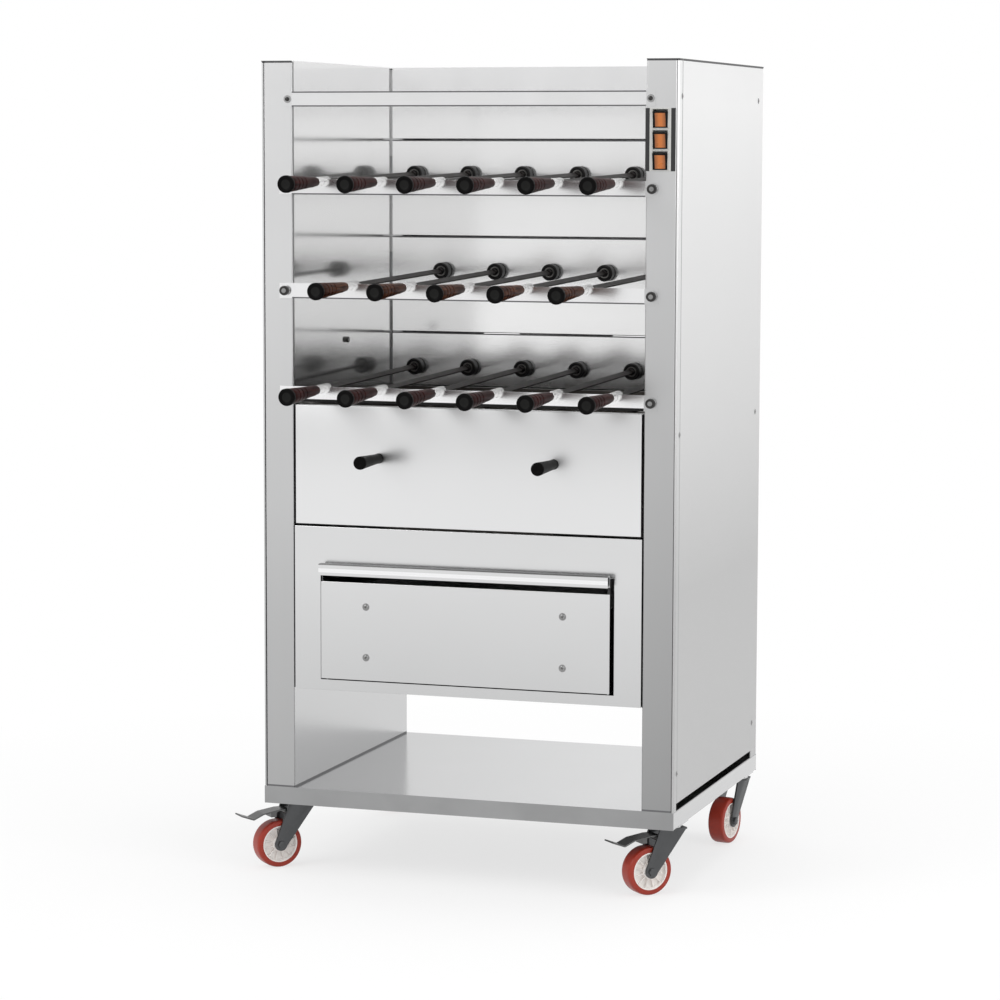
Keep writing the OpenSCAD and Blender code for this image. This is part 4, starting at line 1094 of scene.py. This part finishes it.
class GRILL_OT_stage(bpy.types.Operator):
    """Pale floor, soft lamps, white surroundings and the camera"""

    bl_idname = "grill.stage"
    bl_label = "Stage"

    def execute(self, context):
        select_only()
        bpy.ops.mesh.primitive_plane_add(size=40, location=(0, 0, 0))
        floor = bpy.context.object
        floor.name = "floor"
        floor.data.materials.append(floor_material())
        surroundings(context.scene)
        for name, place, target, size, power in LAMPS:
            lamp = bpy.data.lights.new(name, "AREA")
            lamp.size = size
            lamp.energy = power
            holder = bpy.data.objects.new(name, lamp)
            context.scene.collection.objects.link(holder)
            holder.location = place
            holder.rotation_euler = (Vector(target) - Vector(place)).to_track_quat("-Z", "Y").to_euler()
        camera = bpy.data.cameras.new("Camera")
        camera.sensor_width = CAMERA_SENSOR
        camera.lens = CAMERA_LENS
        camera.clip_end = 60
        holder = bpy.data.objects.new("Camera", camera)
        context.scene.collection.objects.link(holder)
        holder.matrix_world = at(
            *CAMERA_PLACE,
            Matrix.Rotation(math.radians(CAMERA_PAN), 4, "Z")
            @ Matrix.Rotation(math.radians(90 - CAMERA_TILT), 4, "X")
            @ Matrix.Rotation(math.radians(CAMERA_ROLL), 4, "Z"))
        context.scene.camera = holder
        context.scene.view_settings.view_transform = "Standard"
        return {"FINISHED"}


def floor_material():
    """White paper: it keeps the object's shadow close by and fades to plain white further off"""
    made, tree, shader, place = bare_material("White paper", (0.86, 0.86, 0.86), 0.0, 0.9)
    reach = add(tree, "VectorMath", operation="LENGTH")
    fade = add(tree, "MapRange", {"From Min": 0.4, "From Max": 1.6, "To Min": 0.70})
    white = add(tree, "Emission")
    path = add(tree, "LightPath")
    seen = add(tree, "Math", operation="MAXIMUM")
    share = add(tree, "Math", operation="MULTIPLY")
    mix = add(tree, "MixShader")
    link((place, "Object", reach, 0), (reach, "Value", fade, "Value"), (path, "Is Camera Ray", seen, 0),
         (path, "Is Glossy Ray", seen, 1), (fade, 0, share, 0), (seen, 0, share, 1), (share, 0, mix, 0),
         (shader, 0, mix, 1), (white, 0, mix, 2), (mix, 0, tree.nodes["Material Output"], "Surface"))
    return made


def surroundings(scene):
    """White to the camera, a soft room to polished steel, and a plain level of light"""
    world = bpy.data.worlds.new("Studio")
    scene.world = world
    world.use_nodes = True
    tree = world.node_tree
    tree.nodes.clear()
    end = add(tree, "OutputWorld")
    path = add(tree, "LightPath")
    plain = add(tree, "Background", {"Color": (1, 1, 1, 1)})
    light = add(tree, "Background", {"Strength": 0.85})
    room = add(tree, "Background")
    place = add(tree, "TexCoord")
    axes = add(tree, "SeparateXYZ")
    tall = add(tree, "MapRange", {"From Min": -0.25, "From Max": 0.35, "To Min": 0.96})
    seen = add(tree, "Math", operation="MAXIMUM")
    first = add(tree, "MixShader")
    second = add(tree, "MixShader")
    link((place, "Generated", axes, "Vector"), (axes, "Z", tall, "Value"), (tall, 0, room, "Strength"),
         (path, "Is Glossy Ray", first, 0), (light, 0, first, 1), (room, 0, first, 2),
         (path, "Is Camera Ray", seen, 0), (path, "Is Transmission Ray", seen, 1), (seen, 0, second, 0),
         (first, 0, second, 1), (plain, 0, second, 2), (second, 0, end, "Surface"))


# ---- Add-on ----

STEPS = (
    GRILL_OT_cabinet, GRILL_OT_rails, GRILL_OT_heat, GRILL_OT_skewers, GRILL_OT_spindles, GRILL_OT_heater_cover,
    GRILL_OT_drawer, GRILL_OT_fasteners, GRILL_OT_switches, GRILL_OT_castors, GRILL_OT_stage,
)


class GRILL_PT_sidebar(bpy.types.Panel):
    """Lists the grill's pieces and settings"""

    bl_label = "Skewer grill"
    bl_idname = "GRILL_PT_sidebar"
    bl_space_type = "VIEW_3D"
    bl_region_type = "UI"
    bl_category = "Grill"

    def draw(self, context):
        for settings in (context.scene.grill_sizes, context.scene.grill_colours):
            box = self.layout.box()
            for key in settings.__annotations__:
                box.prop(settings, key)
        for step in STEPS:
            self.layout.operator(step.bl_idname)


CLASSES = (GrillSizes, GrillColours, *STEPS, GRILL_PT_sidebar)


def register():
    for cls in CLASSES:
        bpy.utils.register_class(cls)
    bpy.types.Scene.grill_sizes = PointerProperty(type=GrillSizes)
    bpy.types.Scene.grill_colours = PointerProperty(type=GrillColours)


def unregister():
    del bpy.types.Scene.grill_sizes
    del bpy.types.Scene.grill_colours
    for cls in reversed(CLASSES):
        bpy.utils.unregister_class(cls)


def main():
    register()
    make_finishes(bpy.context.scene.grill_colours)
    for step in STEPS:
        group, name = step.bl_idname.split(".")
        getattr(getattr(bpy.ops, group), name)()
    select_only()


if __name__ == "__main__":
    main()
